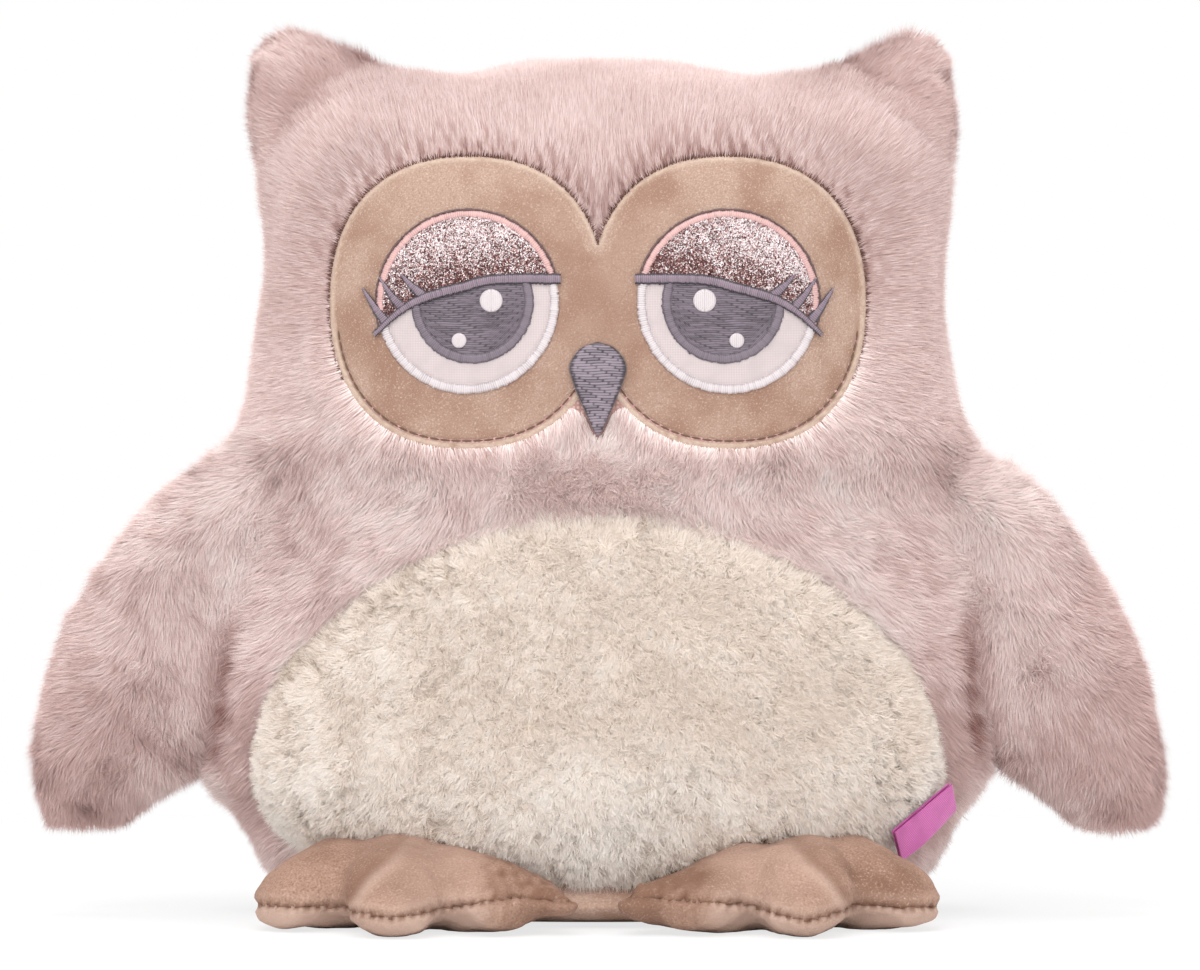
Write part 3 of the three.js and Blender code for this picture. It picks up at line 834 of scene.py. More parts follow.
PINK_PILE = Pile(7.4 * MM, 0.27 * MM, 13.5 * PER_MM2, 0.92, 1.8, 1.6, 0.6)
CROWN_PILE = Pile(7.0 * MM, 0.24 * MM, 16 * PER_MM2, 0.92, 1.3, 0.9, 0.45, blotch=0.4)
EDGE_PILE = Pile(2.5 * MM, 0.3 * MM, 6.5 * PER_MM2, 0.74, 0.5, 0.7, 0.8, spread=0.7)
BACK_PILE = Pile(8.4 * MM, 0.5 * MM, 4.2 * PER_MM2, 0.92, 1.8, 1.5, 0.5)
CREAM_PILE = Pile(3.8 * MM, 0.28 * MM, 14 * PER_MM2, 0.86, 2.5, 6.0, 1.2, 16 * MM, 2.5 * MM, 0.3)


@dataclass
class FurGround:
    """Cloth that fur grows from: its mesh, and how the fur lies at each vertex."""

    mesh: Mesh
    comb: Array
    pile: Array
    # tone: darker above 0 and paler below, much of it painted shade and light
    tone: Array
    edge: Array
    mess: Array
    lay: Array | float
    # Painted shade in the fur's partings
    streak: Array | float = 0.0

    def store(self) -> None:
        """Write the ground's values into its mesh for the scattering to read."""
        put_attribute(self.mesh, "skin", read_attribute(self.mesh.vertices, "normal", 3))
        put_attribute(self.mesh, "comb", self.comb)
        for name in ("pile", "tone", "edge", "mess", "lay", "streak"):
            put_attribute(self.mesh, name, np.broadcast_to(getattr(self, name), (len(self.comb),)))


class FurGrower:
    """Scatters strands over a ground, then combs them."""

    # What every strand keeps until it is combed
    vectors = ("root", "skin", "comb", "patch", "clump", "luck", "fate", "place")
    values = ("pile", "tone", "mess", "lay", "streak")

    def __init__(self, pile: Pile) -> None:
        """Keep the kind of pile."""
        self.pile = pile

    def scatter_tree(self, seed: int) -> NodeTree:
        """Build the nodes that put a strand on every root.

        Args:
            seed: Picks the roots.

        Returns:
            The geometry nodes.
        """
        tree = bpy.data.node_groups.new("strands", "GeometryNodeTree")
        tree.interface.new_socket("Geometry", in_out="INPUT", socket_type="NodeSocketGeometry")
        tree.interface.new_socket("Geometry", in_out="OUTPUT", socket_type="NodeSocketGeometry")
        ground = add_node(tree, "NodeGroupInput").outputs[0]
        inputs = {"Mesh": ground, "Density": self.pile.density, "Seed": seed}
        roots = add_node(tree, "GeometryNodeDistributePointsOnFaces", inputs).outputs["Points"]
        edge = add_node(tree, "GeometryNodeInputNamedAttribute", {"Name": "edge"}, data_type="FLOAT")
        inputs = {0: edge.outputs[0], 1: 0.0}
        beyond = add_node(tree, "FunctionNodeCompare", inputs, operation="LESS_THAN").outputs[0]
        inputs = {"Geometry": roots, "Selection": beyond}
        roots = add_node(tree, "GeometryNodeDeleteGeometry", inputs, domain="POINT").outputs[0]
        position = add_node(tree, "GeometryNodeInputPosition").outputs[0]
        vectors = {
            "root": position,
            "patch": self.field_noise(tree, position, self.pile.patch),
            "clump": self.field_noise(tree, position, self.pile.clump),
        }
        for name, draw in (("luck", seed), ("fate", seed + 7)):
            random = add_node(tree, "FunctionNodeRandomValue", {"Seed": draw}, data_type="FLOAT_VECTOR")
            vectors[name] = random.outputs[0]
        for name, value in vectors.items():
            settings = {"data_type": "FLOAT_VECTOR", "domain": "POINT"}
            inputs = {"Geometry": roots, "Name": name, "Value": value}
            roots = add_node(tree, "GeometryNodeStoreNamedAttribute", inputs, **settings).outputs[0]
        strand = self.strand(tree, position)
        inputs = {"Points": roots, "Instance": strand}
        grown = add_node(tree, "GeometryNodeInstanceOnPoints", inputs).outputs[0]
        real = add_node(tree, "GeometryNodeRealizeInstances", {"Geometry": grown}).outputs[0]
        add_node(tree, "NodeGroupOutput", {0: real})
        return tree

    @staticmethod
    def field_noise(tree: NodeTree, position: NodeSocket, size: float) -> NodeSocket:
        """Add noise with three channels whose blotches are about one size."""
        inputs = {"Vector": position, "Scale": 1 / size, "Detail": 1.5}
        return add_node(tree, "ShaderNodeTexNoise", inputs).outputs["Color"]

    @staticmethod
    def strand(tree: NodeTree, position: NodeSocket) -> NodeSocket:
        """Add one strand, a single pointed face that knows which of its corners is the tip."""
        strand = add_node(tree, "GeometryNodeMeshCircle", {"Vertices": 3}, fill_type="NGON").outputs[0]
        settings = {"data_type": "FLOAT_VECTOR", "domain": "POINT"}
        inputs = {"Geometry": strand, "Name": "place", "Value": position}
        return add_node(tree, "GeometryNodeStoreNamedAttribute", inputs, **settings).outputs[0]

    def grow(self, name: str, ground: FurGround, seed: int) -> Object:
        """Grow the fur of one ground.

        Args:
            name: The name of the piece.
            ground: The cloth under it.
            seed: Picks the strands.

        Returns:
            The piece, one mesh of strands.
        """
        piece = add_object(name, ground.mesh.copy())
        modifier = piece.modifiers.new("strands", "NODES")
        modifier.node_group = self.scatter_tree(seed)
        applied(piece)
        self.comb(piece.data)
        return piece

    def comb(self, mesh: Mesh) -> None:
        """Shape every strand: it leaves the cloth and lies over the way it was brushed."""
        pile = self.pile
        root, skin, comb, patch, clump, luck, fate, place = (
            read_attribute(mesh.attributes[name].data, "vector", 3)[::3] for name in self.vectors
        )
        place = read_attribute(mesh.attributes["place"].data, "vector", 3)[:3]
        share, tone, mess, lay, streak = (
            read_attribute(mesh.attributes[name].data, "value", 1)[::3, None] for name in self.values
        )
        skin = unit(skin)
        stray = (patch - 0.5) * pile.patch_pull + (clump - 0.5) * pile.clump_pull
        stray += (luck - 0.5) * pile.stray_pull
        pull = across_surface(comb + stray * mess, skin)
        size = np.linalg.norm(pull, axis=1, keepdims=True)
        lie = unit(pull) * lay * np.minimum(1, size) ** 0.5 * (1 - pile.stand * fate[:, 1:2] ** 3)
        rise = skin * np.sqrt(1 - np.sum(lie * lie, axis=1, keepdims=True))
        reach = pile.length * share * (1 - pile.spread * fate[:, :1]) * (lie + rise)
        side = unit(np.cross(skin, lie + (fate - 0.5) * 0.05)) * pile.width / 2 * (0.75 + 0.5 * luck[:, :1])
        tip, across = self.corners(place)
        points = root[:, None] + reach[:, None] * tip[:, None] + side[:, None] * across[:, None]
        points[:, :, 2] = np.maximum(points[:, :, 2], (0.15 + 0.5 * fate[:, :1]) * MM)
        reshape(mesh, points)
        self.lay_bake_map(mesh, tip, across)
        shading = unit(skin + (luck - 0.5) * 0.35)
        blotch = pile.blotch * ((clump[:, 0] - 0.5) * 0.7 + (patch[:, 0] - 0.5) * 0.8)
        # Painted shade: strands in the partings just above the mask come out darker
        parting = smoothstep(0.0, 0.7, waves(root * np.array((1, 0, 0.2)), 1.7 * MM, 9))
        shade = 0.5 + tone[:, 0] + blotch + (luck[:, 1] - 0.5) * 0.6 + streak[:, 0] * parting
        for name in (*self.vectors, *self.values, "edge"):
            mesh.attributes.remove(mesh.attributes[name])
        put_attribute(mesh, "fur_along", np.tile(tip, len(root)))
        put_attribute(mesh, "fur_shade", np.repeat(np.clip(shade, 0, 2.2), 3))
        put_attribute(mesh, "custom_normal", np.repeat(shading, 3, axis=0))
        mesh.update()

    @staticmethod
    def corners(place: Array) -> tuple[Array, Array]:
        """Say how far along and how far across itself each corner of a strand is."""
        tip = (place[:, 0] > 0.5) * 1.0
        return tip, np.sign(place[:, 1]) * (1 - tip)

    @staticmethod
    def lay_bake_map(mesh: Mesh, tip: Array, across: Array) -> None:
        """Give every strand its own cell of a UV map named for baking its finish."""
        for layer in list(mesh.uv_layers):
            mesh.uv_layers.remove(layer)
        corner = np.zeros(len(mesh.loops), np.int32)
        mesh.loops.foreach_get("vertex_index", corner)
        strand = corner // 3
        cells = math.ceil(math.sqrt(len(corner) / 3))
        u = (strand % cells + 0.5 + 0.4 * across[corner % 3]) / cells
        v = (strand // cells + 0.1 + 0.8 * tip[corner % 3]) / cells
        layer = mesh.uv_layers.new(name=BAKE_MAP)
        layer.data.foreach_set("uv", np.column_stack((u, v)).astype(np.float32).ravel())


# The bag


@dataclass
class Outline:
    """A rounded outline seen from the front, with its own roundness above and below."""

    x: float
    z: float
    half_width: float
    up: float
    down: float
    up_roundness: float
    down_roundness: float

    def share(self, x: Array, z: Array) -> Array:
        """Return how far out from the centre each place is: 1 on the outline."""
        rising = z > self.z
        half = np.where(rising, self.up, self.down)
        roundness = np.where(rising, self.up_roundness, self.down_roundness)
        p, q = np.abs(x - self.x) / self.half_width, np.abs(z - self.z) / half
        return (p**roundness + q**roundness) ** (1 / roundness)

    def depth(self, x: Array, z: Array) -> Array:
        """Return about how far inside the outline each place is, negative outside it."""
        share = np.maximum(self.share(x, z), 1e-6)
        away = np.hypot(x - self.x, z - self.z)
        return np.where(share < 0.05, self.down, away / share * (1 - share))

    def point(self, turn: Array, share: Array | float) -> tuple[Array, Array]:
        """Give the X and Z at a turn, at a share of the way from the centre to the outline."""
        rising = np.sin(turn) > 0
        roundness = np.where(rising, self.up_roundness, self.down_roundness)
        x = self.x + share * self.half_width * signed_power(np.cos(turn), 2 / roundness)
        z = self.z + share * np.where(rising, self.up, self.down) * signed_power(np.sin(turn), 2 / roundness)
        return x, z


@dataclass
class Drop:
    """The beak's outline: a drop seen from the front."""

    top: float
    half_width: float = 7.8 * MM
    length: float = 25.4 * MM
    shares: tuple[tuple[float, float], ...] = (
        (0.0, 0.0), (0.62, -0.07), (1.0, -0.25), (0.86, -0.45), (0.50, -0.72), (0.14, -0.96), (0.0, -1.0)
    )

    def half(self, z: Array) -> Array:
        """Return half the drop's width at each height."""
        width, height = spline(np.array(self.shares), np.linspace(0, len(self.shares) - 1, 400))
        order = np.argsort(-height)
        share = np.interp((self.top - z) / self.length, -height[order], np.maximum(width[order], 0))
        return share * self.half_width

    def depth(self, x: Array, z: Array) -> Array:
        """Return about how far inside the drop each place is, negative outside it."""
        beyond = np.maximum(np.maximum(z - self.top, self.top - self.length - z), 0)
        return self.half(np.clip(z, self.top - self.length, self.top)) - np.hypot(x, beyond)


class OwlBag:
    """The fur bag of head and body: its form, the seams of its panels, and their fur."""

    fur_depth = 3.4 * MM
    knit = 1.0 * MM
    segments = 200
    rings = 150
    neck_height = 124 * MM
    crown_height = 150 * MM
    # Where the feet's tops meet the belly, along which its fur gets a painted shadow: distance from the
    # middle, and height
    foot_contact = (
        (0, 4.0), (7, 9.5), (16, 13.5), (27, 18.6), (41, 22.4), (55, 23.6), (68, 21.5), (84, 16.0))

    def __init__(self) -> None:
        """Take the bag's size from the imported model."""
        low, high = box_of(
            "front_fur_panel", "belly_fur_panel", "back_fur_panel_left", "back_fur_panel_right")
        self.form = BagForm(high.x, -low.y, high.y, high.z)
        belly_low, belly_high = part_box("belly_fur_panel")
        widest = 0.174 * self.form.height
        bowl = widest - belly_low.z
        self.belly = Outline(0, widest, belly_high.x, belly_high.z - widest, bowl, 1.85, 2.6)
        mask_low, mask_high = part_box("face_mask")
        middle = (mask_low.z + mask_high.z) / 2
        half_height = (mask_high.z - mask_low.z) / 2
        offset = 36.1 / (36.1 + 38.2) * mask_high.x
        self.lobe = Outline(offset, middle, mask_high.x - offset, half_height, half_height, 2.3, 2.3)
        self.beak = Drop(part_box("beak")[1].z)
        self.plain: Skin | None = None
        self.skin: Skin | None = None
        self.skin_mesh: Mesh | None = None
        self.centres = np.zeros((0, 3))

    def mask_depth(self, x: Array, z: Array) -> Array:
        """Return how far inside the face mask each place is, where its lobes make one cloth."""
        lobe = self.lobe
        depth = lobe.depth(np.abs(x), z)
        share = np.maximum(lobe.share(np.abs(x), z), 1e-6)
        edge_x = lobe.x - (lobe.x - np.abs(x)) / share
        notch = lobe.up * (1 - (lobe.x / lobe.half_width) ** lobe.up_roundness) ** (1 / lobe.up_roundness)
        to_notch = np.hypot(x, np.abs(z - lobe.z) - notch)
        return np.where((depth > 0) & (edge_x < 0), to_notch, depth)

    def off_face(self, x: Array, z: Array, step: float) -> Array:
        """Say which way leads straight off the mask, from how its depth changes over a small step."""
        depth = self.mask_depth(x, z)
        return np.column_stack((
            depth - self.mask_depth(x + step, z), np.zeros(len(x)), depth - self.mask_depth(x, z + step)))

    def make_skin(self, limbs: Sequence["FurLimb"]) -> Mesh:
        """Make the whole bag's cloth, with soft swells and drawn-in seams, run into the limbs' roots."""
        place = lambda turn, height: self.form.surface(turn, height, self.fur_depth)
        bm = wrapped_sphere(self.segments, self.rings, place)
        bm.normal_update()
        points = points_of(bm)
        normals = points_of(bm, "normal")
        x, y, z = points.T
        front = y < 0
        belly = self.belly.depth(x, z)
        off_mask = np.where(front, ramp(1, 12, -self.mask_depth(x, z)), 1.0)
        swell = waves(points, 62 * MM, 3) * 1.1 * MM + waves(points, 30 * MM, 5) * 0.5 * MM
        swell -= 2.0 * MM * bell(belly, -1.5, 3.5) * front
        swell += 1.6 * MM * ramp(1, 9, belly) * front
        swell -= 1.5 * MM * bell(x, 0, 3) * ~front + 1.0 * MM * bell(y, 0, 3)
        swell -= 1.2 * MM * ramp(222, 236, z)
        points = points + normals * (swell * off_mask * ramp(2, 20, z))[:, None]
        points[:, 2] -= 3.6 * MM * ramp(14, 44, np.abs(x)) * ramp(205, 236, z)
        points[:, 0] += 2.6 * MM * off_mask * ramp(60, 100, z) * ramp(20, 70, np.abs(x))
        place_vertices(bm, points)
        bm.normal_update()
        mesh = finished_mesh(bm, "bag_skin")
        self.plain = Skin(mesh)
        rooted = sum(melt(points, limb.skin, limb.blend_radius) for limb in limbs)
        reshape(mesh, points + normals * (rooted * off_mask)[:, None])
        self.skin = Skin(mesh)
        return mesh

    def cut(self, keep: Array) -> BMesh:
        """Copy the faces of the skin that are marked to stay."""
        return keep_faces(opened(self.skin_mesh), keep)

    def panel(self, inside: Field) -> BMesh:
        """Cut one panel's backing out of the bag.

        Args:
            inside: Tells how far inside the panel each place is.

        Returns:
            The panel, its edge drawn onto the seam.
        """
        bm = self.cut(inside(self.centres) > -5 * MM)
        points = points_of(bm)
        depth = inside(points)
        nudge = 0.2 * MM
        slope = np.column_stack([(inside(points + way * nudge) - depth) / nudge for way in np.eye(3)])
        near = np.abs(depth) < 1.4 * MM
        shift = -depth[:, None] * slope / np.maximum(np.sum(slope * slope, axis=1, keepdims=True), 0.2)
        place_vertices(bm, np.where(near[:, None], points + shift, points))
        return keep_faces(bm, inside(middles(bm)) >= 0)

    def front_inside(self, points: Array) -> Array:
        """Return how far inside the front panel's fur each place is."""
        x, z = points[:, 0], points[:, 2]
        return np.minimum.reduce([
            -points[:, 1],
            -self.belly.depth(x, z),
            0.8 * MM - self.mask_depth(x, z),
            -0.6 * MM - self.beak.depth(x, z),
            z - 3.0 * MM - 7.0 * MM * ramp(60, 30, np.abs(x)),
        ])

    def belly_inside(self, points: Array) -> Array:
        """Return how far inside the belly panel each place is."""
        x, y, z = points.T
        return np.minimum.reduce([self.belly.depth(x, z), -y, z - 10.5 * MM])

    def back_inside(self, side: Side) -> Field:
        """Return the test for one back panel."""
        return lambda p: np.minimum.reduce([p[:, 1], p[:, 0] * side.value, p[:, 2] - 1.5 * MM])

    def comb(self, points: Array, normals: Array) -> Array:
        """Say which way the bag's pink fur was brushed at each place.

        Args:
            points: Places on the bag.
            normals: The bag's normals there.

        Returns:
            Vectors in the surface, short where the fur stands up.
        """
        x, y, z = points.T
        away = unit(self.off_face(x, z, 0.5 * MM))
        front = ramp(-6, 6, -y)
        head = (smoothstep(self.neck_height, self.crown_height, z) * front)[:, None]
        cheek = bell(z, 128, 13) * front * ramp(10, 26, np.abs(x))
        sideways = np.sign(x) * (1.0 * np.abs(x) / (100 * MM) * (1 - cheek) - 0.5 * cheek)
        body = unit(np.column_stack((sideways, 0.35 * front, -np.ones(len(x)))))
        away[:, 0] *= ramp(0, 16, np.abs(x))
        away[:, 1] = 0.45
        brushed = unit(body * (1 - head) + away * head)
        crown = ramp(200, 232, z)[:, None]
        back = (1 - front[:, None]) * crown
        over = np.column_stack((x / self.form.half_width, 0.35 + 0.9 * (y > 0), 1.0 * (y < 0)))
        field = unit(across_surface(brushed * (1 - crown) + unit(over) * crown, normals))
        crest = smoothstep(0.5, 0.95, normals[:, 2]) * (1 - back[:, 0])
        chest = bell(z, 124, 8) * bell(x, 0, 22) * front
        return field * ((1 - 0.75 * chest) * (1 - 0.6 * crest))[:, None]

    def pink_ground(self, mesh: Mesh) -> FurGround:
        """Say how the pink fur of one panel lies."""
        points, normals = surface_of(mesh)
        x, y, z = points.T
        front = y < 0
        off_mask = np.where(front, -self.mask_depth(x, z), 1.0)
        off_belly = np.where(front, -self.belly.depth(x, z), 1.0)
        upper = ramp(150, 165, z)
        trimmed = 0.4 + 0.6 * ramp(0, 8, off_mask)
        by_beak = np.where(front, -self.beak.depth(x, z), 1.0)
        pile = np.minimum(1 - upper * (1 - trimmed), 0.35 + 0.65 * ramp(0, 5, by_beak))
        # Painted shade and light in the tone: shade along the mask's edge, in the partings above it, on the
        # chest where the fur turns, in the crease by the belly's flanks and on the head's sides, face and
        # cheeks; light on the shoulders, at the top of the head and just behind its seam
        chest = bell(z, 124, 9) * bell(x, 0, 24) * front
        edge = 0.6 * bell(off_mask, 0, 3) * upper + 0.45 * bell(off_mask, 0, 3.5) * (1 - upper)
        streak = 0.85 * bell(off_mask, 0.5, 4.5) * ramp(165, 195, z) * front
        flank = 0.6 * bell(off_belly, 0, 7) * ramp(80, 96, np.abs(x)) * front
        sides = ramp(66, 84, np.abs(x)) * ramp(210, 190, z) * front
        face = ramp(150, 175, z) * front
        shoulder = bell(z, 116, 16) * ramp(66, 86, np.abs(x))
        cheek = bell(z, 150, 22) * ramp(60, 80, np.abs(x)) * front
        top = ramp(205, 238, z)
        behind = ramp(0, 3, y) * ramp(30, 16, y) * ramp(200, 222, z)
        tone = 0.3 * edge - 0.4 * behind + 0.3 * chest + flank
        tone += 0.13 * sides + 0.2 * face + 0.12 * cheek - 0.02 * shoulder - 0.04 * top
        mess = 0.35 + 0.7 * ramp(170, 110, z) + 1.3 * chest - 0.1 * behind
        comb = self.comb(points, normals)
        return FurGround(mesh, comb, pile, tone, np.ones(len(x)), mess, PINK_PILE.lay, streak)

    def cream_ground(self, mesh: Mesh) -> FurGround:
        """Say how the belly's fur lies."""
        points, normals = surface_of(mesh)
        x, _, z = points.T
        down = np.column_stack((x * 5, np.zeros(len(x)), -np.ones(len(x))))
        places, heights = np.array(self.foot_contact).T * MM
        contact = z - np.interp(np.abs(x), places, heights)
        # Painted light low on the belly and at its top, and painted shadow along the line where the feet's
        # tops meet it
        tone = 0.08 - 0.4 * ramp(60, 20, z) - 0.08 * ramp(90, 108, z)
        tone += (2.0 * ramp(2.4, 0.2, contact) + 0.35 * bell(contact, 2, 6)) * (
            ramp(86, 78, np.abs(x)) * ramp(5, 12, np.abs(x)))
        out = unit(np.column_stack((x - self.belly.x, np.zeros(len(x)), z - self.belly.z)))
        fan = bell(self.belly.depth(x, z), 0, 7)[:, None]
        comb = across_surface(down * 0.35 + out * fan, normals)
        return FurGround(mesh, comb, np.ones(len(x)), tone, np.ones(len(x)), np.ones(len(x)), CREAM_PILE.lay)

    def build(self, limbs: Sequence["FurLimb"]) -> None:
        """Make every panel's knit backing and its fur, round the roots of the limbs."""
        self.skin_mesh = self.make_skin(limbs)
        points = coordinates(self.skin_mesh)
        off_limbs = np.minimum.reduce([limb.skin.gaps(points, 10 * MM) for limb in limbs]) + 3.5 * MM
        put_attribute(self.skin_mesh, "off_limbs", off_limbs)
        # Painted shade round the limbs' roots, low down
        put_attribute(self.skin_mesh, "rooted", self.root_shade(points))
        self.centres = read_attribute(self.skin_mesh.polygons, "center", 3)
        self.panel_piece("front", self.front_inside, PINK_KNIT, "front_fur_panel")
        self.panel_piece("belly", self.belly_inside, CREAM_KNIT, "belly_fur_panel")
        self.grow_needles()
        for side in Side:
            node = f"back_fur_panel_{side.label}"
            self.panel_piece(f"back_{side.label}", self.back_inside(side), PINK_KNIT, node)

    @staticmethod
    def crease(points: Array) -> Array:
        """Shade the jagged crease low on the front, where the wing's fur meets the bag's."""
        z = points[:, 2]
        across = np.abs(points[:, 0]) - np.interp(z, (46 * MM, 79 * MM), (104.0 * MM, 99.0 * MM))
        jagged = 1.4 * MM * waves(points, 5 * MM, 3)
        window = ramp(40, 50, z) * ramp(90, 80, z) * (points[:, 1] < 0)
        return 1.3 * window * bell(across + jagged, 0, 2.4)

    @staticmethod
    def root_shade(points: Array) -> Array:
        """Say how strongly a limb's root is shaded at each height: only low down."""
        jagged = waves(points, 5 * MM, 43) * 4 * MM
        return ramp(92, 70, points[:, 2] + jagged)

    def panel_piece(self, label: str, inside: Field, knit: Finish, node: str) -> None:
        """Make one panel: the knit backing, and the fur on it in parts of a fair size."""
        under_mask = 3 * MM if label == "front" else 0.0
        backing = add_piece(f"{label}_backing", self.panel(lambda p: inside(p) + under_mask))
        add_thickness(backing, self.knit)
        dress(backing, knit, "torso", [node], Fill.PLUMP)
        cream = label == "belly"
        near = inside(self.centres) > -4 * MM
        for number, (part, (pile, keep)) in enumerate(self.parts(label).items()):
            mesh = finished_mesh(self.cut(near & keep(self.centres)), part)
            ground = self.cream_ground(mesh) if cream else self.pink_ground(mesh)
            off_limbs = read_attribute(mesh.attributes["off_limbs"].data, "value", 1)
            points = coordinates(mesh)
            ground.edge = np.minimum(inside(points), off_limbs)
            # Painted shade round the limbs' low roots and in the wing's crease
            shade = read_attribute(mesh.attributes["rooted"].data, "value", 1)
            ground.tone = ground.tone + 1.4 * shade * bell(off_limbs, 3.0, 3.5) + self.crease(points)
            ground.store()
            fur = FurGrower(pile).grow(part, ground, 11 + 3 * number + len(label))
            dress(fur, CREAM_FUR if cream else PINK_FUR, "torso", [node])

    def grow_needles(self) -> None:
        """Grow short dark strands where the fur meets the upper edge of the mask: painted shadow between the
        fur's tips and the mask.
        """
        strip = bmesh.new()
        for side in Side:

            def place(u: Array, v: Array, sign: int = side.value) -> Array:
                """Lay a narrow ring just inside the edge of the mask's lobe."""
                x, z = self.lobe.point(u * 2 * math.pi, 0.986 + 0.016 * v)
                return self.form.front(sign * x, z, self.fur_depth - 0.7 * MM)

            half = finished_mesh(wrapped_grid(400, 2, place, FRONT), "needle_strip")
            strip.from_mesh(half)
            bpy.data.meshes.remove(half)
        mesh = finished_mesh(strip, "needles")
        points, normals = surface_of(mesh)
        x, _, z = points.T
        comb = unit(across_surface(self.off_face(x, z, 0.3 * MM), normals))
        edge = np.minimum(1.2 * MM - self.mask_depth(x, z), z - 150 * MM)
        every = np.ones(len(x))
        pile = 0.35 + 0.65 * ramp(158, 185, z)
        ground = FurGround(mesh, comb, pile, every * 0.0, edge, every, EDGE_PILE.lay)
        ground.store()
        needles = FurGrower(EDGE_PILE).grow("front_fur_needles", ground, 77)
        dress(needles, NEEDLE_SHADOWS, "torso", ["front_fur_panel"])

    def parts(self, label: str) -> dict[str, tuple[Pile, Field]]:
        """Divide a panel's fur into pieces that each stay small enough."""
        neck, middle = self.neck_height + 16 * MM, 45 * MM
        if label == "belly":
            return {
                "belly_fur_left": (CREAM_PILE, lambda c: c[:, 0] < 0),
                "belly_fur_right": (CREAM_PILE, lambda c: c[:, 0] >= 0),
            }
        if label != "front":
            return {f"{label}_fur": (BACK_PILE, lambda c: np.ones(len(c), bool))}
        return {
            "front_fur_crown": (CROWN_PILE, lambda c: (c[:, 2] > neck) & (np.abs(c[:, 0]) < middle)),
            "front_fur_head_left": (CROWN_PILE, lambda c: (c[:, 2] > neck) & (c[:, 0] <= -middle)),
            "front_fur_head_right": (CROWN_PILE, lambda c: (c[:, 2] > neck) & (c[:, 0] >= middle)),
            "front_fur_body_left": (PINK_PILE, lambda c: (c[:, 2] <= neck) & (c[:, 0] < 0)),
            "front_fur_body_right": (PINK_PILE, lambda c: (c[:, 2] <= neck) & (c[:, 0] >= 0)),
        }


class Skin:
    """A closed skin that can tell how far off it places are."""

    def __init__(self, mesh: Mesh) -> None:
        """Keep the mesh's points, normals and faces."""
        self.low, self.high = coordinates(mesh).min(axis=0), coordinates(mesh).max(axis=0)
        self.points = [vertex.co.copy() for vertex in mesh.vertices]
        self.normals = [vertex.normal.copy() for vertex in mesh.vertices]
        self.faces = [tuple(face.vertices) for face in mesh.polygons]
        self.tree = BVHTree.FromPolygons(self.points, self.faces)

    def gaps(self, points: Array, reach: float) -> Array:
        """Return how far outside the skin each place is, negative inside it, and no more than a reach.

        Args:
            points: The places.
            reach: The largest distance that matters.

        Returns:
            One distance for each place.
        """
        gaps = np.full(len(points), reach)
        near = np.all((points > self.low - reach) & (points < self.high + reach), axis=1)
        for row in np.nonzero(near)[0]:
            point = Vector(points[row])
            place, _, face, distance = self.tree.find_nearest(point)
            normal = Vector()
            for corner in self.faces[face]:
                normal += self.normals[corner] / ((self.points[corner] - place).length_squared + 1e-10)
            gaps[row] = min(math.copysign(distance, (point - place).dot(normal)), reach)
        return gaps


def melt(points: Array, other: Skin, radius: float) -> Array:
    """Return how far a skin swells in front where another is near, so that the two run into each other."""
    gaps = other.gaps(points, radius)
    return ramp(3, 16, -points[:, 1]) * np.maximum(radius - np.abs(gaps), 0) ** 2 / (4 * radius)


def stuffed(piece: Object, most: float) -> Object:
    """Blow a closed cloth up as stuffing does, with Blender's cloth simulation.

    Args:
        piece: The cloth, sewn shut.
        most: The farthest that a point may move.

    Returns:
        The piece in its stuffed shape.
    """
    before = coordinates(piece.data)
    cloth = piece.modifiers.new("stuffing", "CLOTH")
    cloth.settings.use_pressure = True
    cloth.settings.uniform_pressure_force = 4
    cloth.settings.effector_weights.gravity = 0
    cloth.point_cache.frame_start, cloth.point_cache.frame_end = 1, SIMULATED_FRAMES
    scene = bpy.context.scene
    for moment in range(1, SIMULATED_FRAMES + 1):
        scene.frame_set(moment)
    swollen = piece.evaluated_get(bpy.context.evaluated_depsgraph_get())
    after = coordinates(swollen.data)
    piece.modifiers.remove(cloth)
    scene.frame_set(1)
    moved = after - before
    moved -= moved.mean(axis=0)
    far = np.linalg.norm(moved, axis=1, keepdims=True)
    points = before + moved * np.minimum(1, most / np.maximum(far, 1e-9))
    reshape(piece.data, points)
    log.info("%s: swelled by %.1f mm at most", piece.name, float(far.max()) / MM)
    return piece


def sew_on(piece: Object, limb: str, plane: Vector, near: float, far: float) -> None:
    """Find a limb's seam, then free the limb's cloth from its body and bake its place into its mesh.

    Args:
        piece: The cloth or its fur.
        limb: The limb's body.
        plane: The normal of the plane that the seam and the limb lie in.
        near: How far off the seam's line the cloth starts to follow the limb; not used.
        far: How far off the line it follows the limb fully; not used.
    """
    joint = next(joint for joint in frame["joints"] if joint["child"] == limb)
    seam = Vector(joint["pos_m"])
    out = Vector(joint["axis"]).cross(plane).normalized()
    points = coordinates(piece.data)
    if out.dot(Vector(points.mean(axis=0)) - seam) < 0:
        out.negate()
    place = piece.matrix_world.copy()
    piece.parent = None
    piece.matrix_world = place
    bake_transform(piece)


# Limbs with fur


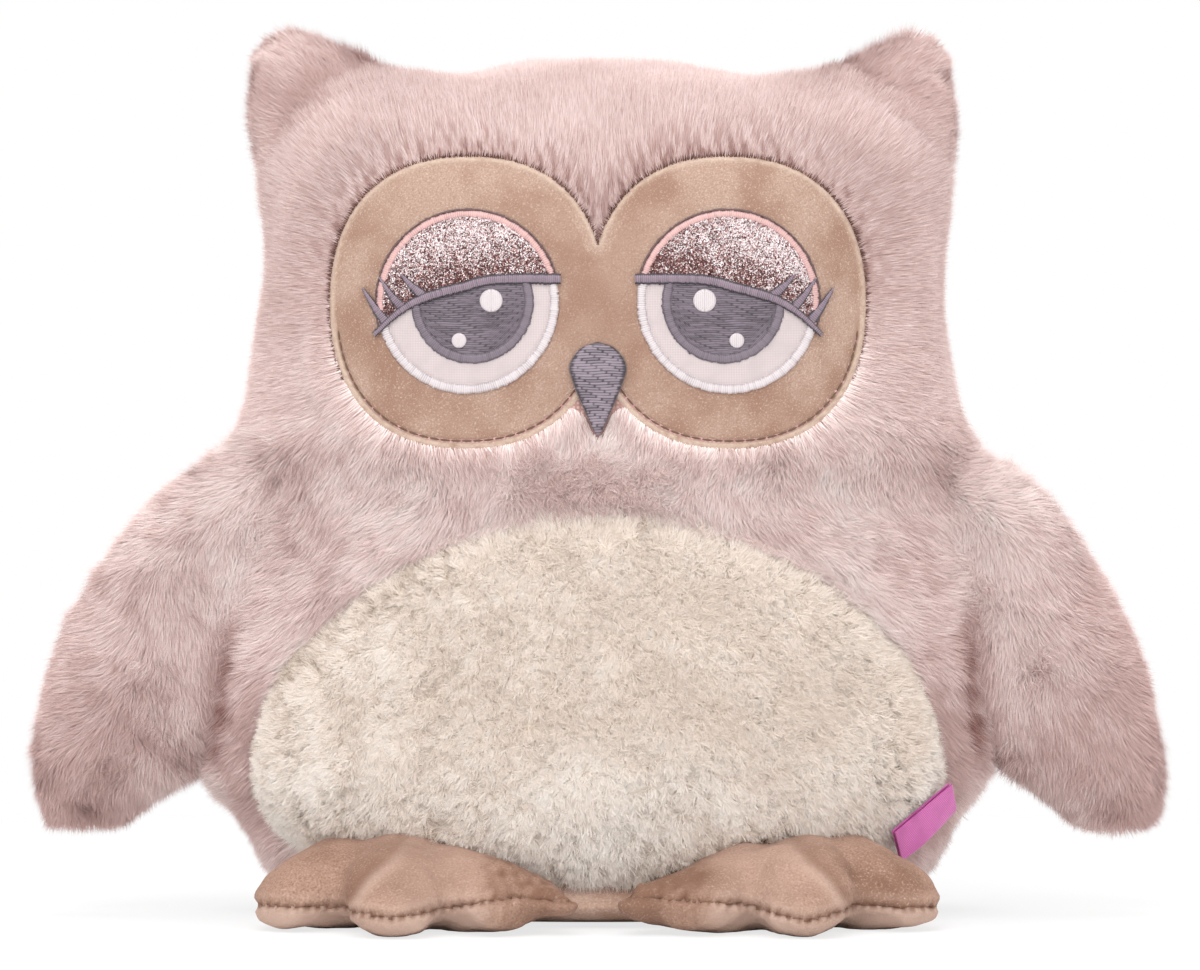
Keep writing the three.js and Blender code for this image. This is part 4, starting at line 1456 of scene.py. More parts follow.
class FurLimb:
    """A stuffed fur limb: its backing cloth, its fur and its stuffing."""

    blend_radius = 20 * MM
    fur_depth = 5.6 * MM
    knit = 1.0 * MM
    segments = 56
    rings = 56
    # Two distances off the seam's line, given to sew_on as near and far
    bend = (-3 * MM, 22 * MM)

    def __init__(self, kind: str, side: Side, bag: OwlBag) -> None:
        """Name the limb and find its place on the bag."""
        self.kind = kind
        self.side = side
        self.bag = bag
        self.body = f"{kind}_{side.label}"
        self.form = self.make_form()
        self.make_skin()

    def make_form(self) -> LimbForm:
        """Build the limb's form; each kind of limb has its own."""
        raise NotImplementedError

    def comb(self, points: Array) -> Array:
        """Say which way the limb's fur was brushed; each kind of limb has its own."""
        raise NotImplementedError

    def sculpt(self, points: Array, normals: Array) -> Array:
        """Add soft swells to the limb's cloth."""
        swell = waves(points, 45 * MM, 17 + self.side.value) * 0.8 * MM
        return points + normals * swell[:, None]

    def make_skin(self) -> None:
        """Sew the limb's cloth shut, stuff it and keep its skin."""
        bm = wrapped_sphere(self.segments, self.rings, lambda t, h: self.form.surface(t, h, self.fur_depth))
        shell = stuffed(add_piece(f"{self.body}_shell", bm), 1.5 * MM)
        points, normals = surface_of(shell.data)
        self.skin_mesh = shell.data.copy()
        reshape(self.skin_mesh, self.sculpt(points, normals))
        bpy.data.objects.remove(shell)
        self.skin = Skin(self.skin_mesh)

    def cloth(self, margin: float) -> BMesh:
        """Copy the limb's skin, run into the bag, without what lies within a margin of the bag."""
        bm = opened(self.skin_mesh)
        bm.normal_update()
        points = points_of(bm)
        normals = points_of(bm, "normal")
        rooted = melt(points, self.bag.plain, self.blend_radius)
        place_vertices(bm, points + normals * rooted[:, None])
        return keep_faces(bm, self.bag.skin.gaps(middles(bm), 10 * MM) >= margin)

    def build(self) -> None:
        """Make the backing, the fur on both faces and the stuffing."""
        label = self.side.label
        nodes = [f"{self.kind}_front_{label}", f"{self.kind}_back_{label}"]
        backing = add_piece(f"{self.kind}_backing_{label}", self.cloth(0.5 * MM))
        add_thickness(backing, self.knit)
        dress(backing, PINK_KNIT, self.body, nodes, Fill.PLUMP)
        sew_on(backing, self.body, FRONT, *self.bend)
        for face, pile, facing in (("front", PINK_PILE, -1), ("back", BACK_PILE, 1)):
            bm = self.cloth(-3 * MM)
            mesh = finished_mesh(keep_faces(bm, facing * middles(bm)[:, 1] >= 0), "limb_ground")
            points, normals = surface_of(mesh)
            field = unit(across_surface(self.comb(points), normals))
            every = np.ones(len(points))
            edge = self.bag.skin.gaps(points, 10 * MM) + 1.5 * MM
            mess = every + self.parted(points)
            # Painted shade and light: the limb's own tone, with shade round its low root and in the wing's
            # crease
            tone = self.tone(points) + 1.4 * self.bag.root_shade(points) * bell(edge, 1.0, 3.5)
            tone += self.bag.crease(points)
            ground = FurGround(mesh, field / mess[:, None], every, tone, edge, mess, pile.lay)
            ground.store()
            seed = 41 + 5 * self.side.value + len(face)
            fur = FurGrower(pile).grow(f"{self.kind}_{face}_fur_{label}", ground, seed)
            dress(fur, PINK_FUR, self.body, [f"{self.kind}_{face}_{label}"])
            sew_on(fur, self.body, FRONT, *self.bend)
        self.stuff()

    def parted(self, points: Array) -> Array:
        """Say where the limb's fur is parted; most has none."""
        return np.zeros(len(points))

    def tone(self, points: Array) -> Array:
        """Say where the limb's fur is painted darker or paler than the rest, as shade and light."""
        return np.zeros(len(points))

    def stuff(self) -> None:
        """Make the stuffing inside the limb."""
        inset = self.fur_depth + 2 * self.knit
        bm = wrapped_sphere(24, 24, lambda t, h: self.form.surface(t, h, inset))
        centres = points_of(bm)
        buried = self.bag.plain.gaps(centres, 10 * MM) < 1.5 * MM
        hidden = [vertex for vertex, under in zip(bm.verts, buried) if under]
        bmesh.ops.delete(bm, geom=hidden, context="VERTS")
        bmesh.ops.holes_fill(bm, edges=bm.edges, sides=0)
        piece = add_piece(f"{self.kind}_fibre_{self.side.label}", bm)
        dress(piece, STUFFING, self.body, [f"{self.kind}_stuffing_{self.side.label}"], Fill.PLUMP)


class Wing(FurLimb):
    """A wing that hangs from the shoulder along the side seam."""

    blend_radius = 36 * MM
    fur_depth = 5.0 * MM
    # Places where the fur is parted: X and height on the front, in millimetres
    partings = ((126, 52), (136, 43), (118, 47), (145, 31), (123, 69))
    width = 62 * MM
    length = 111.5 * MM
    thickness = 35 * MM
    top_share = 0.557
    section_shares = (
        (-0.32, -0.07, 0.05, -0.08, 0.70, 0.75),
        (-0.36, -0.17, 0.36, -0.14, 1.05, 0.75),
        (-0.34, -0.32, 0.66, -0.31, 1.15, 0.7),
        (-0.26, -0.53, 0.86, -0.54, 1.15, 0.6),
        (-0.0, -0.70, 0.985, -0.75, 1.05, 0.5),
        (0.24, -0.845, 1.0, -0.875, 0.84, 0.35),
        (0.46, -0.945, 0.95, -0.955, 0.52, 0.2),
    )
    root_shares = (-0.12, -0.03)
    tip_shares = (0.77, -1)

    def make_form(self) -> LimbForm:
        """Build the wing's form from its shoulder to its tip."""
        shoulder = self.top_share * self.bag.form.height
        root = self.bag.form.edge(shoulder)
        side = self.side.value

        def place(x: float, z: float) -> Vector:
            """Return a place given by its shares of the wing's width and length."""
            return Vector((side * (root + x * self.width), 0, shoulder + z * self.length))

        root_tip, far_tip = place(*self.root_shares), place(*self.tip_shares)
        return limb_between(place, self.section_shares, self.thickness, root_tip, far_tip)

    def comb(self, points: Array) -> Array:
        """Brush the fur out to the wing's edge and down."""
        x, _, z = points.T
        out = np.clip((np.abs(x) - 118 * MM) / (30 * MM) + 1.2 * ramp(95, 125, z), -0.3, 1)
        high = np.clip((z - 30 * MM) / (50 * MM), 0.25, 1)
        down = -(1.05 - 0.7 * np.clip(out, 0, 1) * high)
        across = self.side.value * out * np.clip(high + 0.2, 0, 1)
        return unit(np.column_stack((across, np.full(len(x), 0.25), down)))

    def parted(self, points: Array) -> Array:
        """Part the fur in a few small places low on the front."""
        across, height = np.abs(points[:, 0]), points[:, 2]
        spots = [bell(np.hypot(across - x * MM, height - z * MM), 0, 4.5) for x, z in self.partings]
        return 1.5 * np.maximum.reduce(spots) * (points[:, 1] < 0)

    def tone(self, points: Array) -> Array:
        """Paint shade into the partings, onto the wing's lower end and outer edge and a little onto its top,
        and paint the right wing a little darker than the left.
        """
        low, high = ramp(95, 45, points[:, 2]), ramp(80, 115, points[:, 2])
        outer = ramp(118, 145, np.abs(points[:, 0]))
        return 0.16 * self.parted(points) + 0.2 * low + 0.04 * high + 0.35 * outer + 0.04 * self.side.value


class Ear(FurLimb):
    """An ear on the corner of the head."""

    width = 42 * MM
    height = 50 * MM
    thickness = 33 * MM
    blend_radius = 36 * MM
    fur_depth = 6.4 * MM
    seat_share = 0.9
    bend = (-2 * MM, 18 * MM)
    rings = 44
    segments = 44
    section_shares = (
        (0.48, -0.74, 1.02, -0.22, 1.25, 0.9),
        (0.36, -0.46, 0.88, 0.08, 1.25, 0.9),
        (0.14, -0.25, 0.85, 0.27, 1.15, 0.75),
        (-0.07, -0.035, 0.74, 0.41, 1.08, 0.6),
        (-0.16, 0.175, 0.63, 0.52, 0.98, 0.4),
        (-0.18, 0.355, 0.49, 0.59, 0.80, 0.25),
        (-0.08, 0.49, 0.32, 0.635, 0.50, 0.1),
    )
    tip_shares = (0.12, 0.645)
    # The right ear sits this much farther out than the left one
    wider = 3 * MM

    def seat(self, x: float, z: float) -> Vector:
        """Give a point for shares of the ear's box, counted inwards from the head's side."""
        height = self.seat_share * self.bag.form.height
        edge = self.bag.form.edge(height) + (self.wider if self.side is Side.RIGHT else 0)
        return Vector((self.side.value * (edge - x * self.width), 0, height + z * self.height))

    def make_form(self) -> LimbForm:
        """Build the ear's form from its root to its tip."""
        first = self.section_shares[0]
        root = (self.seat(first[0], first[1]) + self.seat(first[2], first[3])) / 2
        return limb_between(self.seat, self.section_shares, self.thickness, root, self.seat(*self.tip_shares))

    def sculpt(self, points: Array, normals: Array) -> Array:
        """Cup the front of the ear a little, as its root seam draws it in."""
        moved = super().sculpt(points, normals)
        middle = self.seat(0.36, 0.12)
        away = np.linalg.norm((points - np.array(middle))[:, (0, 2)], axis=1)
        cup = 2.6 * MM * bell(away, 0, 12) * (normals[:, 1] < 0)
        moved[:, 1] += cup
        return moved

    def comb(self, points: Array) -> Array:
        """Brush the fur away from the ear's root."""
        root = np.array(self.seat(0.62, -0.35))
        away = points - root
        away[:, 1] *= 0.4
        return unit(unit(away) + np.array((self.side.value * 0.35, 0, -0.15)))

    def tone(self, points: Array) -> Array:
        """Paint shade over the whole ear and more in its cup, and a little light at its tip."""
        middle = np.array(self.seat(0.42, 0.16))
        away = np.linalg.norm((points - middle)[:, (0, 2)], axis=1)
        tip = ramp(235, 247, points[:, 2])
        return 0.4 + 0.2 * bell(away, 0, 12) * (points[:, 1] < 0) - 0.08 * tip


# The face


def crests(at: Array, pitch: float, power: float = 0.6) -> Array:
    """Return 1 on the crests of threads laid side by side, and 0 between them."""
    return np.abs(np.sin(math.pi * at / pitch)) ** power


def stitch_luck(x: Array, row: Array, length: float) -> Array:
    """Give each stitch in rows of fill its own random number from 0 to 1."""
    stitch = np.floor((x + row * STITCH_STAGGER) / length)
    return np.mod(np.sin(row * 12.9898 + stitch * 78.233) * 43758.5453, 1)


@dataclass
class Embroidery:
    """Threads and cloth laid on the face, each a depth below the fur's surface."""

    bag: OwlBag

    def on_face(self, x: Array, z: Array, inset: float | Array) -> Array:
        """Give places on the face."""
        return self.bag.form.front(x, z, inset)

    def column_patch(
        self,
        name: str,
        xs: tuple[float, float],
        low: Field,
        high: Field,
        grid: tuple[int, int],
        inset: Place,
    ) -> Object:
        """Lay a patch between a lower and an upper edge.

        Args:
            name: The piece's name.
            xs: Its least and greatest X.
            low: Its lower edge's height at each X.
            high: Its upper edge's height at each X.
            grid: Its faces across and up.
            inset: Its depth below the fur's surface at each X and Z.

        Returns:
            The piece, an open sheet that faces the front.
        """

        def place(u: Array, v: Array) -> Array:
            """Run columns from the lower curve to the upper one."""
            x = xs[0] + (xs[1] - xs[0]) * (0.5 - 0.5 * np.cos(u * math.pi))
            bottom, top = low(x), high(x)
            z = bottom + (np.maximum(top, bottom) - bottom) * v
            return self.on_face(x, z, inset(x, z))

        return add_piece(name, wrapped_grid(*grid, place, FRONT))


class FaceMask(Embroidery):
    """One piece of tan velour: two lobes that meet behind the beak."""

    surface_inset = 2.6 * MM
    sewn_inset = 3.3 * MM
    rounds = 220
    stitch_gap = 2.4 * MM

    def rising(self, z: Array | float) -> Array:
        """Return 1 along the mask's turned-in upper edge and 0 along its raw lower edge."""
        return ramp(-14, 4, z - self.bag.lobe.z)

    def inset(self, x: Array, z: Array) -> Array:
        """Shape the mask: round at its upper edge, with a sewn groove inside its raw lower edge."""
        depth = self.bag.mask_depth(x, z)
        upper = self.rising(z)
        edge = np.sqrt(np.clip(1 - (1 - np.clip(depth / (1.2 * MM), 0, 1)) ** 2, 0, 1))
        inset = self.sewn_inset - (self.sewn_inset - self.surface_inset) * edge
        ragged = 1 + 0.35 * np.sin(x / (1.1 * MM)) * np.sin(z / (1.3 * MM) + x / (2.9 * MM))
        roll = 0.35 * MM * bell(depth, 1.0, 0.8) * upper * ragged
        groove = 0.6 * MM * bump(depth, self.stitch_gap, 0.55 * MM) * (1 - upper)
        return inset - roll + groove

    def build(self) -> None:
        """Make the mask and the stitches along its lower edge."""
        lobe = self.bag.lobe

        def place(u: Array, v: Array) -> Array:
            """Fill the lobe with rings that crowd towards its edge."""
            share = 1 - (1 - v) ** 2.6
            x, z = lobe.point(u * 2 * math.pi, share)
            return self.on_face(x, z, self.inset(x, z))

        bm = wrapped_grid(self.rounds, 38, place, FRONT)
        geometry = [*bm.verts, *bm.edges, *bm.faces]
        cut = bmesh.ops.bisect_plane(
            bm, geom=geometry, plane_co=(0, 0, 0), plane_no=(1, 0, 0), dist=0.01 * MM, clear_inner=True)
        for item in cut["geom_cut"]:
            if isinstance(item, BMVert):
                item.co.x = 0
        bmesh.ops.mirror(bm, geom=[*bm.verts, *bm.edges, *bm.faces], merge_dist=0.02 * MM, axis="X")
        bm.normal_update()
        bmesh.ops.recalc_face_normals(bm, faces=bm.faces)
        face_towards(bm, FRONT)
        mask = add_piece("face_mask_velour", bm)
        points = coordinates(mask.data)
        depth, upper = self.bag.mask_depth(points[:, 0], points[:, 2]), self.rising(points[:, 2])
        # rim: the raw lower edge is paler as the cloth's own edge; along the rolled upper edge it is a
        # painted highlight
        raw = smoothstep(self.stitch_gap, 1.6 * MM, depth) * (1 - upper)
        rolled = bell(depth, 0.8, 0.9) * upper
        speckle = 0.75 + 0.25 * waves(points, 1.6 * MM, 19)
        notch = bump(points[:, 0], 0, 15 * MM) * (depth > 4 * MM)
        put_attribute(mask.data, "rim", np.clip((0.6 * rolled + 0.65 * raw) * speckle, 0, 1))
        # crease: painted shade in the sewn groove along the lower edge, and the mask darker about its middle
        sewn = 0.75 * bump(depth, self.stitch_gap, 0.5 * MM) * (1 - upper)
        put_attribute(mask.data, "crease", sewn + 0.45 * notch)
        add_thickness(mask, 0.5 * MM)
        dress(mask, TAN_VELOUR, "torso", ["face_mask"])
        lay_out(mask, (2.15 * (lobe.x + lobe.half_width), 2.1 * lobe.up))
        self.sew()

    def sew(self) -> None:
        """Lay the brown stitches in the groove."""
        lobe = self.bag.lobe
        turns = np.linspace(0, 2 * math.pi, 1200)
        x, z = lobe.point(turns, 1 - self.stitch_gap / ((lobe.half_width + lobe.up) / 2))
        run = np.concatenate(([0], np.cumsum(np.hypot(np.diff(x), np.diff(z)))))
        length, gap = 2.5 * MM, 0.5 * MM
        bm = bmesh.new()
        for start in np.arange(0, run[-1] - length, length + gap):
            ends = np.array([start, start + length])
            ex, ez = np.interp(ends, run, x), np.interp(ends, run, z)
            if self.rising(ez.mean()) > 0.4 or min(ex) < 5.5 * MM:
                continue
            for side in Side:
                a, b = (
                    Vector(self.on_face(np.array([side.value * px]), np.array([pz]), 2.9 * MM)[0])
                    for px, pz in zip(ex, ez)
                )
                add_stitch(bm, a, b, 0.3 * MM)
        stitches = add_piece("mask_stitching", bm)
        put_attribute(stitches.data, "thread", np.full(len(stitches.data.vertices), 0.5))
        dress(stitches, SEAM_THREAD, "torso")


def add_stitch(bm: BMesh, start: Vector, end: Vector, radius: float) -> None:
    """Add one stitch of thread to a bmesh, from where it comes up to where it goes down."""
    along = end - start
    turn = along.to_track_quat("Z", "Y").to_matrix().to_4x4()
    size = Matrix.Diagonal((radius, radius, along.length / 2 + radius / 2, 1))
    matrix = Matrix.Translation((start + end) / 2) @ turn @ size
    bmesh.ops.create_uvsphere(bm, u_segments=8, v_segments=7, radius=1, matrix=matrix)


class Eye(Embroidery):
    """One eye: appliqué white, glittering lid, embroidered iris, lid line and lashes."""

    radius = 25.1 * MM
    lid_line_width = 2.6 * MM
    white_border = 2.5 * MM
    pink_border = 2.1 * MM
    iris_radius = 16.9 * MM
    iris_rim = 2.7 * MM
    iris_shift_share = 0.055
    cloth_inset = 2.4 * MM
    # The line where the eyelid ends, in shares of the eye's radius, counted towards the nose and up
    lid_shares = ((-1.03, -0.30), (-0.76, -0.06), (-0.49, 0.09), (-0.06, 0.21), (0.32, 0.29), (1.02, 0.295))
    lash_shares = {
        "outer": ((-0.88, -0.23), (-1.01, -0.06), (-1.16, 0.17)),
        "middle": ((-0.70, -0.07), (-0.82, 0.06), (-0.97, 0.28)),
        "inner": ((-0.47, 0.06), (-0.60, 0.17), (-0.73, 0.31)),
    }

    def __init__(self, side: Side, bag: OwlBag) -> None:
        """Find the eye's centre between the corners of its border."""
        super().__init__(bag)
        self.side = side
        low, high = box_of(f"eye_white_border_{side.label}")
        self.z = low.z + self.radius
        self.x = (low.x + high.x) / 2
        self.lid = self.place_shares(self.lid_points(120)) - np.array((0, self.lid_line_width / 2))

    def lid_points(self, count: int) -> Array:
        """Return even steps along the lid line, in shares of the eye's radius."""
        rows = np.array(self.lid_shares)
        fine = spline(rows, np.linspace(0, len(rows) - 1, 800)).T
        run = np.concatenate(([0], np.cumsum(np.linalg.norm(np.diff(fine, axis=0), axis=1))))
        at = np.linspace(0, run[-1], count)
        return np.column_stack([np.interp(at, run, fine[:, axis]) for axis in (0, 1)])

    def place_shares(self, shares: Array) -> Array:
        """Turn shares of the eye's radius into X and Z."""
        x = self.x - self.side.value * shares[:, 0] * self.radius
        return np.column_stack((x, self.z + shares[:, 1] * self.radius))

    def lid_height(self, x: Array) -> Array:
        """Return the height of the lid line's middle at each X."""
        order = np.argsort(self.lid[:, 0])
        return np.interp(x, self.lid[order, 0], self.lid[order, 1])

    def name(self, part: str) -> str:
        """Return a part's name on this side."""
        return f"{part}_{self.side.label}"

    def circle(self, radius: float, x: float | None = None) -> Array:
        """Return even steps round a circle about the eye's centre or another X."""
        turn = np.linspace(0, 2 * math.pi, 720, endpoint=False)
        middle = self.x if x is None else x
        return np.column_stack((middle + radius * np.cos(turn), self.z + radius * np.sin(turn)))

    def arc(self, radius: float, above: bool, x: float | None = None, margin: float = 0.0) -> Array:
        """Return the part of a circle above or below the lid line, in order."""
        ring = self.circle(radius, x)
        over = ring[:, 1] > self.lid_height(ring[:, 0]) + margin
        keep = over if above else ~over
        start = int(np.argmax(keep & ~np.roll(keep, 1)))
        ring, keep = np.roll(ring, -start, axis=0), np.roll(keep, -start)
        return ring[: int(np.argmin(keep)) if not keep.all() else len(keep)]

    def build(self) -> None:
        """Make every part of the eye."""
        self.build_cloth()
        self.build_borders()
        self.build_iris()
        self.build_lashes()

    def finish_thread(self, piece: Object, finish: Finish, part: str) -> None:
        """Dress an embroidered part under its node's name."""
        dress(piece, finish, "torso", [self.name(part)])

    def satin_band(
        self, part: str, node: str, finish: Finish, line: Array, width: Array | float, inset: float,
        height: float, pitch: float, outline: float
    ) -> None:
        """Sew a raised band of threads that run across a line.

        Args:
            part: The piece's name, without its side.
            node: The name of the node that it stands for, without its side.
            finish: Its thread.
            line: The band's middle line as X and Z, at even steps.
            width: The band's width, along the whole line or at each of its points.
            inset: The depth of the cloth under it.
            height: How high it stands.
            pitch: The distance from thread to thread.
            outline: How dark its two edges are, from 0 to 1.
        """
        name = self.name(part)
        steps = np.linalg.norm(np.diff(line, axis=0), axis=1)
        run = np.concatenate(([0], np.cumsum(steps)))
        tangent = unit(np.gradient(line, run, axis=0))
        normal = np.column_stack((-tangent[:, 1], tangent[:, 0]))
        widths = np.broadcast_to(width, (len(line),))
        columns = max(24, round(run[-1] / pitch * 4))
        rows, top_share = 12, 0.75
        luck = np.random.default_rng(len(name) + round(run[-1] / MM))
        jitter = luck.normal(size=(2, math.ceil(run[-1] / pitch) + 2)) * 0.09 * MM

        def place(u: Array, v: Array) -> Array:
            """Run across the band all along its line."""
            at = u * run[-1]
            centre = np.column_stack([np.interp(at, run, line[:, axis]) for axis in (0, 1)])
            out = unit(np.column_stack([np.interp(at, run, normal[:, axis]) for axis in (0, 1)]))
            half = np.interp(at, run, widths) / 2
            top = v <= top_share
            side = np.where(top, np.cos(v / top_share * math.pi), -1 + 2 * (v - top_share) / (1 - top_share))
            thread = (at / pitch).astype(int)
            ragged = np.where(side > 0, jitter[0, thread], jitter[1, thread]) * (np.abs(side) > 0.5)
            crest = crests(at, pitch)
            arch = np.where(top, np.sqrt(np.maximum(1 - side**2, 0)), 0)
            ends = np.sqrt(np.clip(np.minimum(u, 1 - u) * run[-1] / (0.5 * MM), 0, 1))
            lift = arch * (height * (0.78 + 0.22 * crest)) * (0.35 + 0.65 * ends)
            plane = centre + out * (side * half * (0.97 + 0.03 * crest) + ragged)[:, None]
            return self.on_face(plane[:, 0], plane[:, 1], inset - lift)

        piece = add_piece(name, wrapped_grid(columns, rows, place))
        points = coordinates(piece.data)
        nearest, gap = self.nearest_run(points[:, (0, 2)], line, run)
        share = gap / (np.interp(nearest, run, widths) / 2)
        thread = (nearest / pitch).astype(int)
        tints = luck.uniform(-0.18, 0.18, thread.max() + 2)
        # Painted shade between the threads, and each edge darker by its outline share
        tone = 0.42 + 0.58 * crests(nearest, pitch) + tints[thread]
        tone *= 1 - outline * smoothstep(0.5, 0.72, share)
        put_attribute(piece.data, "thread", np.clip(tone, 0, 1))
        dress(piece, finish, "torso", [self.name(node)])

    @staticmethod
    def nearest_run(points: Array, line: Array, run: Array) -> tuple[Array, Array]:
        """Return how far along a line each point is nearest to it, and how far off it is."""
        start, step = line[:-1], np.diff(line, axis=0)
        length = np.maximum(np.sum(step * step, axis=1), 1e-18)
        found, gaps = np.zeros(len(points)), np.zeros(len(points))
        for first in range(0, len(points), 4000):
            block = points[first : first + 4000, None, :] - start[None]
            share = np.clip(np.sum(block * step, axis=2) / length, 0, 1)
            gap = np.linalg.norm(block - share[..., None] * step, axis=2)
            best = gap.argmin(axis=1)
            rows = np.arange(len(best))
            found[first : first + 4000] = run[best] + share[rows, best] * (run[best + 1] - run[best])
            gaps[first : first + 4000] = gap[rows, best]
        return found, gaps

    def disc(self, radius: float, centre: float) -> tuple[Field, Field]:
        """Return the lower and the upper edge of a disc, each as heights at an X."""

        def half_chord(x: Array) -> Array:
            """Return half the circle's height at each X."""
            return np.sqrt(np.maximum(radius**2 - (x - centre) ** 2, 0))

        return lambda x: self.z - half_chord(x), lambda x: self.z + half_chord(x)

    def build_cloth(self) -> None:
        """Lay the white cloth and the glittering lid, edge to edge under the lid line."""
        radius = self.radius - 0.6 * MM
        xs = (self.x - radius, self.x + radius)
        bottom, top = self.disc(radius, self.x)

        def middle(x: Array) -> Array:
            """Return the lid's edge, kept inside the circle."""
            return np.clip(self.lid_height(x), bottom(x), top(x))

        def inset(x: Array, z: Array) -> Array:
            """Return how deep the cloth lies, with a groove along the border."""
            away = np.hypot(x - self.x, z - self.z)
            line = (self.radius - self.white_border - 0.25 * MM - away) / MM
            groove = 0.15 * MM * bump(line, 0, 0.35)
            return self.cloth_inset - 0.25 * MM + groove + 0.1 * MM * (line < 0)

        white = self.column_patch(self.name("eye_white_cloth"), xs, bottom, middle, (80, 60), inset)
        add_thickness(white, 0.4 * MM)
        dress(white, WHITE_SATIN, "torso", [self.name("eye_white")])
        lay_out(white, (2.1 * radius, 1.5 * radius))
        lid = self.column_patch(self.name("eyelid_cloth"), xs, middle, top, (70, 40), inset)
        flakes = self.sprinkle(lid)
        add_thickness(lid, 0.4 * MM)
        dress(lid, LID_CLOTH, "torso", [self.name("eyelid")])
        lay_out(lid, (2.1 * radius, 1.2 * radius))
        dress(flakes, GLITTER, "torso", [self.name("eyelid")])

    def sprinkle(self, lid: Object) -> Object:
        """Scatter glitter flakes over the lid, each tilted its own way."""
        flake_size = 0.3 * MM
        pile = Pile(1.0, 1.0, 24 * PER_MM2, 0, 0, 0, 0, 5 * MM, 1.2 * MM)
        grower = FurGrower(pile)
        flat = np.zeros((len(lid.data.vertices), 3))
        ground = FurGround(lid.data.copy(), flat, flat[:, 0], flat[:, 0], flat[:, 0] + 1, flat[:, 0], 0.0)
        ground.store()
        flakes = add_object(self.name("eyelid_glitter"), ground.mesh)
        modifier = flakes.modifiers.new("flakes", "NODES")
        modifier.node_group = grower.scatter_tree(5 + self.side.value)
        applied(flakes)
        mesh = flakes.data
        root, luck, fate, patch, place = (
            read_attribute(mesh.attributes[name].data, "vector", 3)
            for name in ("root", "luck", "fate", "patch", "place")
        )
        spin, tilt = luck[:, 0] * 2 * math.pi, (luck[:, 1:3] - 0.5) * 1.5
        wide = np.column_stack((np.cos(spin), tilt[:, 0], np.sin(spin)))
        tall = np.column_stack((-np.sin(spin), tilt[:, 1], np.cos(spin)))
        size = flake_size * (0.6 + 0.7 * fate[:, :1])
        lift = (0.12 + 0.25 * fate[:, 1:2]) * MM * np.array((0, -1, 0))
        points = root + lift + (unit(wide) * place[:, :1] + unit(tall) * place[:, 1:2]) * size
        reshape(mesh, points)
        grower.lay_bake_map(mesh, *grower.corners(place[:3]))
        # Painted highlight: flakes paler towards the top of the lid and towards +X on both eyes, darker by
        # the lid line; each flake's random share is a painted glint
        rise = (root[:, 2] - self.lid_height(root[:, 0])) / self.radius
        right = np.clip((root[:, 0] - self.x) / self.radius, -1, 1)
        bright = 0.12 + 0.85 * smoothstep(0.02, 0.68, rise) + 0.15 * right + (patch[:, 0] - 0.5) * 0.9
        put_attribute(mesh, "flake", np.clip(bright * 0.66 + (fate[:, 2] - 0.5) * 1.25 + 0.13, 0, 1))
        for name in (*grower.vectors, *grower.values, "edge"):
            mesh.attributes.remove(mesh.attributes[name])
        mesh.update()
        return flakes

    def build_borders(self) -> None:
        """Sew the satin borders and the lid line."""
        white, pink = self.white_border, self.pink_border
        for part, node, finish, (inwards, above), width, height, pitch, outline in (
            ("white", "eye_white_border", WHITE_THREAD, (white / 2, False), white, 0.75, 0.6, 0.35),
            ("pink", "eyelid_border", PINK_THREAD, (pink / 2, True), pink, 0.8, 0.6, 0.55),
            # The dark brown line outside the pink border: partly a stitch line, partly painted shadow
            ("edging", "eyelid_border", EDGE_STITCH_AND_SHADOW_THREAD, (-0.2 * MM, True), 0.7 * MM, 0.5, 0.7, 0.0),
        ):
            self.satin_band(
                f"eye_border_{part}", node, finish, self.arc(self.radius - inwards, above), width,
                self.cloth_inset, height * MM, pitch * MM, outline)
        outward = self.side.value * (self.lid[:, 0] - self.x) / self.radius
        width = self.lid_line_width * (0.62 + 0.55 * smoothstep(1.05, 0.3, outward))
        self.satin_band(
            "lid_satin", "lid_line", MAUVE_THREAD, self.lid, width, 1.9 * MM, 1.1 * MM, 0.55 * MM, 0.95)

    def build_iris(self) -> None:
        """Sew the iris: rows of fill, a satin rim and two white highlights."""
        centre = self.x - self.side.value * self.iris_shift_share * self.radius
        inner = self.iris_radius - self.iris_rim * 0.7
        bottom, ceiling = self.disc(inner, centre)

        def top(x: Array) -> Array:
            """Return the iris's upper edge, tucked under the lid line."""
            return np.clip(self.lid_height(x) + 0.4 * MM, bottom(x), ceiling(x))

        fill = self.column_patch(
            self.name("iris_fill"), (centre - inner, centre + inner), bottom, top, (64, 150),
            lambda x, z: self.cloth_inset - 0.35 * MM - self.fill_height(x, z))
        self.colour_fill(fill, 0.62 * MM)
        add_thickness(fill, 0.3 * MM)
        self.finish_thread(fill, DARK_FILL, "iris")
        rim_line = self.arc(self.iris_radius - self.iris_rim / 2, False, centre, 0.6 * MM)
        self.satin_band(
            "iris_satin", "iris_rim", DARK_FILL, rim_line, self.iris_rim,
            self.cloth_inset - 0.3 * MM, 0.75 * MM, 0.55 * MM, 0.5)
        for part, shares, radius in (
            ("eye_highlight_large", (0.263, 0.012), 3.15 * MM),
            ("eye_highlight_small", (-0.088, -0.42), 2.05 * MM),
        ):
            self.sew_dot(part, self.place_shares(np.array([shares]))[0], radius)

    @staticmethod
    def fill_height(x: Array, z: Array, pitch: float = 0.62 * MM, stitch: float = 4.0 * MM) -> Array:
        """Raise rows of stitches, each dipping where its needle went down."""
        wobble = 0.12 * MM * np.sin(x / (1.9 * MM) + z / (2.3 * MM))
        row = np.floor((z + wobble) / pitch)
        crest = crests(z + wobble, pitch, 0.7)
        along = np.mod(x + row * STITCH_STAGGER, stitch) / stitch
        dip = bump(along - 0.5, 0.5, 0.06) + bump(along - 0.5, -0.5, 0.06)
        return 0.26 * MM * crest * (1 - 0.8 * dip)

